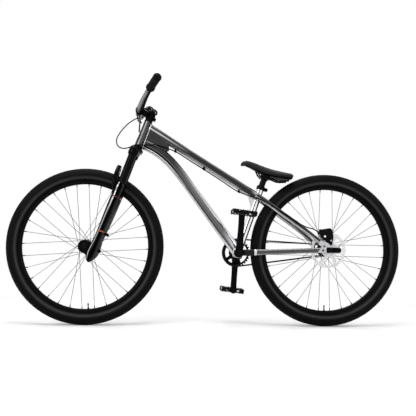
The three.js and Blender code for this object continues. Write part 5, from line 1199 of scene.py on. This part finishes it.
# The stem: a ring round the steerer, a neck and a split ring round the bar, whose front half is the face plate
def buildStem():
    c = cockpit
    low, high = c["stemLow"], c["stemHigh"]
    foot, axis = steering["foot"], steering["axis"]
    clamp = np.array(c["clamp"])
    ring = [(14.6, low), (16.6, low), (17.5, low + 1), (17.5, high - 1), (16.6, high), (14.6, high)]
    patches = [turned(ring, foot, axis, 48)]
    rows = [(-6, 0, 630, 15, 15), (-20, 0, 631.5, 13.5, 14.5), (-38, 0, 634, 16, 15.5)]
    patches.append(tube(inFork(rows), 12, 32, power=4))
    arc = np.radians(np.linspace(-84, 84, 24))
    for part, sign in (("stem", 1), ("faceplate", -1)):
        outer = [(clamp[0] + sign * 20 * np.cos(a), clamp[2] + 20 * np.sin(a)) for a in arc]
        inner = [(clamp[0] + sign * 16 * np.cos(a), clamp[2] + 16 * np.sin(a)) for a in arc[::-1]]
        group = [plate([outer + inner], -22, 22, 1)]
        for z in (clamp[2] + 18.6, clamp[2] - 18.6):
            ear = circle(clamp[0] + sign * 5.2, z, 5, 16)
            group += [plate([ear], y, y + 11, 1) for y in (-22, 11)]
        if part == "stem":
            bosses = [button(place, (0, 1, 0), radius, -13, 13, 1, 28)
                      for place, radius in (((22, 0, 620.8), 7), ((15.4, 0, 641.3), 4.9))]
            tongue = plate([[(10, low + 1), (24, low + 3), (26, low + 9), (22, low + 18), (20, high - 8),
                             (16, high - 2), (10, high - 2)]], -8, 8, 1.6)
            patches += [carry(q, inFork) for q in group + bosses + [tongue]]
            piece("stem", patches, "glossBlack", "steering", ["stem"], 34)
        else:
            places = [(clamp[0] - 10, y, clamp[2] + z) for y in (-16.5, 16.5) for z in (-18.6, 18.6)]
            forward = [[[0, 0, -1, x], [0, 1, 0, y], [1, 0, 0, z]] for x, y, z in places]
            heads = copies(screwPatch(3.6, 3.4), forward)
            faceplate = [carry(q, inFork) for q in group]
            piece("faceplate", faceplate, "glossBlack", "steering", ["stem_faceplate"], 34)
            piece("faceplateScrews", [carry(heads, inFork)], "brushedSteel", "steering")
    pinch = [screws([(22, side * 13, 620.8), (15.4, side * 13, 641.3)], (0, side, 0), 3.8, 2.6) for side in (-1, 1)]
    piece("pinchScrews", [carry(q, inFork) for q in pinch], "satinBlack", "steering")
    cap = turned([(0, high + 0.4), (15, high + 0.4), (16.5, high + 1.4), (16.5, high + 3.2), (14, high + 5.6),
                  (5.2, high + 6), (4.4, high + 3.6), (0, high + 3.6)], foot, axis, 44, closed=False)
    piece("topCap", [cap], "glossBlack", "steering", ["top_cap"])


lever = {"centre": (-53.7, 631.82), "radius": 10.5, "low": 158, "high": 218.5, "clampAt": 212, "clampHalf": 6.5,
         "pivot": (-304.07, 220.6, 923.2), "pivotAxis": (0.7165, 0, -0.6977), "reach": 92, "drop": 30}


# The brake lever: a cylinder beside the bar, a clamp ring round it and a blade that hooks down to a ball end
def buildLever():
    v = lever
    share = v["clampAt"] / cockpit["half"]
    bar = barRows(1, [share])[0][:3]
    centre = inFork([(v["centre"][0], 0, v["centre"][1])])[0]
    low, high = v["low"], v["high"]
    profile = [(0, low), (6.5, low), (8.6, low + 1.6), (9.3, low + 8), (v["radius"], low + 12),
               (v["radius"], high - 4), (8.8, high - 0.5), (0, high)]
    patches = [turned(profile, centre, around=36, closed=False)]
    reach = np.array([-v["clampHalf"], -5.2, 5.2, v["clampHalf"]]) + v["clampAt"]
    rows = barRows(1, reach / cockpit["half"], [14.2, 15.4, 15.4, 14.2])
    patches.append(tube(rows, around=36, side=steering["rear"], smooth=False, bevel=0.6))
    middle = (bar + centre + [0, v["clampAt"], 0]) / 2
    rows = [[*bar, 5.4, 9], [*middle, 5, 8], [centre[0], v["clampAt"], centre[2], 5.8, 8.6]]
    patches.append(tube(rows, 14, 24, power=3))
    lid = plate([[(-11, 168), (11, 168), (12, 171), (12, 206), (11, 209), (-11, 209), (-12, 206), (-12, 171)]],
                3, 10, 1.6)
    patches.append(carry(lid, lambda points: points[:, [0, 2, 1]] + [centre[0], 0, centre[2]]))
    piece("leverBody", patches, "glossBlack", "steering", ["brake_lever_body"], 34)
    collar = button(centre, (0, 1, 0), 8.4, low - 3.5, low + 0.4, 0.8, 28)
    piece("leverFitting", [collar], "tanPatch", "steering")
    start = np.array(v["pivot"])
    axis, rear = np.array(steering["axis"]), np.array(steering["rear"])
    table = [(0, 0, 0, 4, 6.4), (0.12, -0.04, 0.05, 4, 6.2), (0.25, -0.06, 0.12, 3.8, 5.8),
             (0.4, -0.03, 0.28, 3.6, 5.6), (0.55, 0.02, 0.45, 3.6, 5.6), (0.7, 0.07, 0.65, 3.6, 5.4),
             (0.85, 0.12, 0.86, 3.7, 5.4), (1, 0.16, 1, 4.2, 5.8)]
    rows = [[*(start + [0, out * v["reach"], 0] + rear * back * v["drop"] - axis * drop * v["drop"]), w, q]
            for out, back, drop, w, q in table]
    blade = [tube(rows, 50, 24, side=steering["rear"], bevel=2),
             button(start, v["pivotAxis"], 4.6, -6.8, 6.8, 0.6, 20)]
    piece("leverBlade", blade, "blackAnodised", "brake_lever", ["brake_lever_blade"])


buildBar()
buildStem()
buildLever()
print("cockpit built")


# ---- brake hose, its clips and the calliper

hose = {
    "radius": 2.6,
    "loop": [(-309.25, 157.7, 929.5), (-309.25, 148, 929.5), (-321, 139.5, 924.5), (-336, 136, 915),
             (-354, 132, 901.5),
             (-379, 112, 872), (-397, 90, 842), (-407, 62, 811), (-401, 36, 783), (-378, 6, 766), (-348, -16, 768),
             (-330, -27, 776), (-313, -32, 778), (-293, -34, 778), (-264, -32, 779.5), (-229, -29, 780),
             (-195, -26, 772)],
    "run": [(-194, -26, 771.6), (-148, -22, 754), (-84, -18, 717), (-21, -15, 680), (59, -14, 631), (134, -17, 585),
            (165, -22, 573), (195, -30, 563), (227, -41, 552), (276, -52, 526), (329, -60, 493), (381, -66, 458),
            (425, -70, 434), (458, -66, 426), (480.3, -60, 412.5)],
}


# Hose, clips and guides follow the points; a clip lies along the chord of its neighbours
def buildHose():
    loop, run = [[[*p, hose["radius"]] for p in hose[part]] for part in ("loop", "run")]
    line = tube(loop, 160, 16, side=(1, 0.2, 0), bevel=0.3)
    made = piece("hoseLoop", [line], "hosePlastic", "frame", ["brake_hose_loop"])
    made.parent = None
    del made["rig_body"]
    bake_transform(made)
    piece("hoseRun", [tube(run, 200, 16, bevel=0.3)], "hosePlastic", "frame", ["brake_hose"])
    for number, k in ((1, 1), (2, 3), (3, 5)):
        at = np.array(hose["run"][k], float)
        ahead = unit(np.array(hose["run"][k + 1], float) - np.array(hose["run"][k - 1], float))
        a, b = at - ahead * 4.4, at + ahead * 4.4
        band = [tube([[*a, 4.6], [*b, 4.6]], 2, 20, bevel=0.8, smooth=False),
                tube([[*(a + [0, 1, 7]), 3.4], [*(b + [0, 1, 7]), 3.4]], 2, 20, bevel=0.8, smooth=False)]
        piece("hoseClip%d" % number, band, "blackClip", "frame", ["hose_clip_%d" % number])
    guides = []
    for k, drop in ((9, 5), (11, 6)):
        at = np.array(hose["run"][k], float)
        ahead = unit(np.array(hose["run"][k + 1], float) - np.array(hose["run"][k - 1], float))
        guides.append(tube([[*(at - ahead * 4), 4.3], [*(at + ahead * 4), 4.3]], 2, 20, bevel=0.8, smooth=False))
        foot = at + [-drop * 0.4, 0, -drop * 1.4]
        guides.append(tube([[*at, 2.6], [*foot, 2.6]], 2, 16, side=(0, 1, 0), smooth=False))
    piece("stayGuides", guides, "satinBlack", "frame")


calliper = {"centre": (512.1, -52.5, 414.8), "lean": -10}


# Two equal halves on either side of the rotor, leaned together by one angle
def buildCalliper():
    centre, lean = np.array(calliper["centre"]), np.radians(calliper["lean"])
    block = [(-29, -8), (-24, -14), (-8, -14.6), (8, -13), (24, -14.6), (29, -9), (29.5, 3), (24, 12), (12, 14.6),
             (-4, 13), (-18, 14.8), (-27, 9), (-29.6, 1)]
    halves = [plate([block], -16.6, -2.3, 2.2), plate([block], 2.3, 16.6, 2.2)]
    bridge = [plate([[(-14, 8), (14, 8), (14, 14.2), (-14, 14.2)]], -4, 4, 0.8)]
    mount = [plate([[(-27, -15), (-16, -15), (-15, -6), (-27, -6)]], -17, 4, 1.2),
             plate([[(16, -15), (28, -15), (28, -6), (16, -6)]], -17, 4, 1.2)]
    piston = [button((0, 0, -1), (0, 1, 0), 11.5, -18.6, -15, 1.2, 36)]
    body = tilted(halves + bridge + mount + piston, lean, centre)
    piece("calliperBody", body, "glossBlack", "frame", ["brake_calliper"], 34)
    bolts = [screws([(-21, -12, 14), (22, -12, 12)], (0, 0, 1), 4.2, 3.6),
             screws([(-20, -17, -2), (20, -17, -3)], (0, -1, 0), 3.2, 2.4)]
    piece("calliperBolts", tilted(bolts, lean, centre), "brushedSteel", "frame")
    banjo = [button((-29.5, -8, -1), (1, 0, 0), 4.4, -6, 1, 0.6, 20)]
    piece("hoseFitting", tilted(banjo, lean, centre), "satinBlack", "frame")


buildHose()
buildCalliper()
print("brake built")


# ---- seat post and saddle

post = {"low": 177, "high": 343.2, "clampAt": 352.8, "radius": 13.6}


# The post runs up the seat line, and its clamp leans with the rails
def buildPost():
    rows = onSeat([(0, 0, post[end], post["radius"]) for end in ("low", "high")])
    piece("seatpost", [tube(rows, 4, 44)], "blackAnodised", "seatpost", ["seatpost"])
    middle, lean = onSeat([(0, 0, post["clampAt"])])[0], np.arctan2(15.5, 70.4)
    cradle = [plate([[(-21, -7), (-17, -8.4), (17, -8.4), (21, -7), (21.6, -1), (-21.6, -1)]], -28, 28, 1.4),
              plate([[(-21.6, 0), (21.6, 0), (21, 6), (17, 8), (-17, 8), (-21, 6)]], -28, 28, 1.4),
              button((0, 0, -9), (0, 0, 1), 14, -6, 3, 1, 40)]
    piece("saddleClamp", tilted(cradle, lean, middle), "blackAnodised", "seatpost", ["saddle_clamp"], 34)
    bolts = [screws([(s * 13, 0, -8.4) for s in (-1, 1)], (0, 0, -1), 4, 4)]
    piece("saddleClampBolts", tilted(bolts, lean, middle), "brushedSteel", "seatpost")


saddle = {
    "tailX": 371, "length": 228, "nose": 713, "tail": 668, "half": 19, "depth": 24,
    "railTail": (352.8, 0, 637.28), "railNose": (206, 0, 692), "railRadius": 3.5, "grooveDepth": 1.6, "seamAt": 18,
    # share of the length, share of the fall, half width and pad depth as shares
    "rows": [(0, 0.06, 0.2, 0.3), (0.012, -0.06, 0.45, 0.55), (0.03, -0.15, 0.6, 0.72), (0.065, -0.24, 0.77, 0.85),
             (0.11, -0.28, 0.9, 0.93), (0.18, -0.22, 1.0, 1.05), (0.25, -0.12, 1.1, 1.2), (0.42, 0.2, 1.5, 1.38),
             (0.6, 0.5, 2.3, 1.35), (0.78, 0.72, 3.2, 1.24), (0.92, 0.86, 3.5, 1.12), (0.96, 0.91, 3.3, 0.98),
             (0.985, 0.97, 2.9, 0.8), (1, 1.05, 2.2, 0.4)],
    "section": [(0, 1), (0.35, 0.97), (0.68, 0.86), (0.92, 0.64), (1, 0.38), (0.93, 0.1), (0.78, 0), (0, 0)],
}


# The saddle: along its length a half section of shares is widened and deepened by rows, and a shallow channel
# runs down the middle of the top
def buildSaddle():
    s = saddle
    rows = np.array(s["rows"], float)
    nothing = 0 * rows[:, 0]
    full = smoothPath(np.stack([rows[:, 0] * 10, nothing, nothing, *rows.T[1:]], axis=1), 90)
    share, fall, wide, deep = full[:, 0] / 10, full[:, 3], full[:, 4] * s["half"], full[:, 5] * s["depth"]
    sec = np.array(s["section"], float)
    half = smoothPath(np.stack([sec[:, 0], sec[:, 1], 0 * sec[:, 0]], axis=1), 30)
    out = np.concatenate([half[:, 0], -half[-2:0:-1, 0]])
    up = np.concatenate([half[:, 1], half[-2:0:-1, 1]])
    x = s["tailX"] - s["length"] * (1 - share)
    top = s["nose"] + (s["tail"] - s["nose"]) * fall
    groove = s["grooveDepth"] * np.exp(-((out * wide[:, None]) / 5.0) ** 2) * (up > 0.5)
    groove = groove * np.clip((share[:, None] - 0.3) * 6, 0, 1) * np.clip((0.9 - share[:, None]) * 8, 0, 1)
    grid = np.stack([np.broadcast_to(x[:, None], (90, len(out))), out * wide[:, None],
                     top[:, None] + (up - 1) * deep[:, None] - groove], axis=2)
    ends = [np.tile(grid[k].mean(axis=0), (1, len(out), 1)) for k in (0, -1)]
    grid = np.concatenate([ends[0], grid, ends[1]])
    pad = piece("saddlePad", [gridPatch(grid)], "saddleCover", "seatpost", ["saddle_pad"], 60)
    edges = [grid[2:-2, k] for k in (s["seamAt"], -s["seamAt"])]
    seams = [tube(np.concatenate([line, np.full((len(line), 1), 0.9)], axis=1), 120, 8) for line in edges]
    piece("saddleSeams", seams, "stitchThread", "seatpost")
    keep = (share > 0.1) & (share < 0.985)
    under = top[keep] - deep[keep]
    inner = np.clip(wide[keep] - 5, 3, None)
    ring = np.stack([np.broadcast_to(x[keep][:, None], (keep.sum(), len(out))), out * inner[:, None],
                     under[:, None] - 0.4 + (up - 1) * 3.5], axis=2)
    closeEnds = [np.tile(ring[k].mean(axis=0), (1, len(out), 1)) for k in (0, -1)]
    piece("saddleBase", [gridPatch(np.concatenate([closeEnds[0], ring, closeEnds[1]]))], "basePlastic", "seatpost",
          ["saddle_base"], 50)
    clampMid = onSeat([(0, 0, post["clampAt"])])[0]
    tail, nose = np.array(s["railTail"]), np.array(s["railNose"])
    run = [[tail + [0, side * 35.2, 0], clampMid + [55, side * 22, -15.5], clampMid + [35.2, side * 22, -7.75],
            clampMid + [-23, side * 22, 5.1], nose + [0, side * 11, 0]] for side in (-1, 1)]
    path = run[0] + [nose + [-8, 0, 3.5]] + run[1][::-1]
    rows = [[*p, s["railRadius"]] for p in path]
    piece("saddleRails", [tube(rows, 160, 18, side=(0, 0, 1))], "blackSteel", "seatpost", ["saddle_rails"])


buildPost()
buildSaddle()
print("seat built")
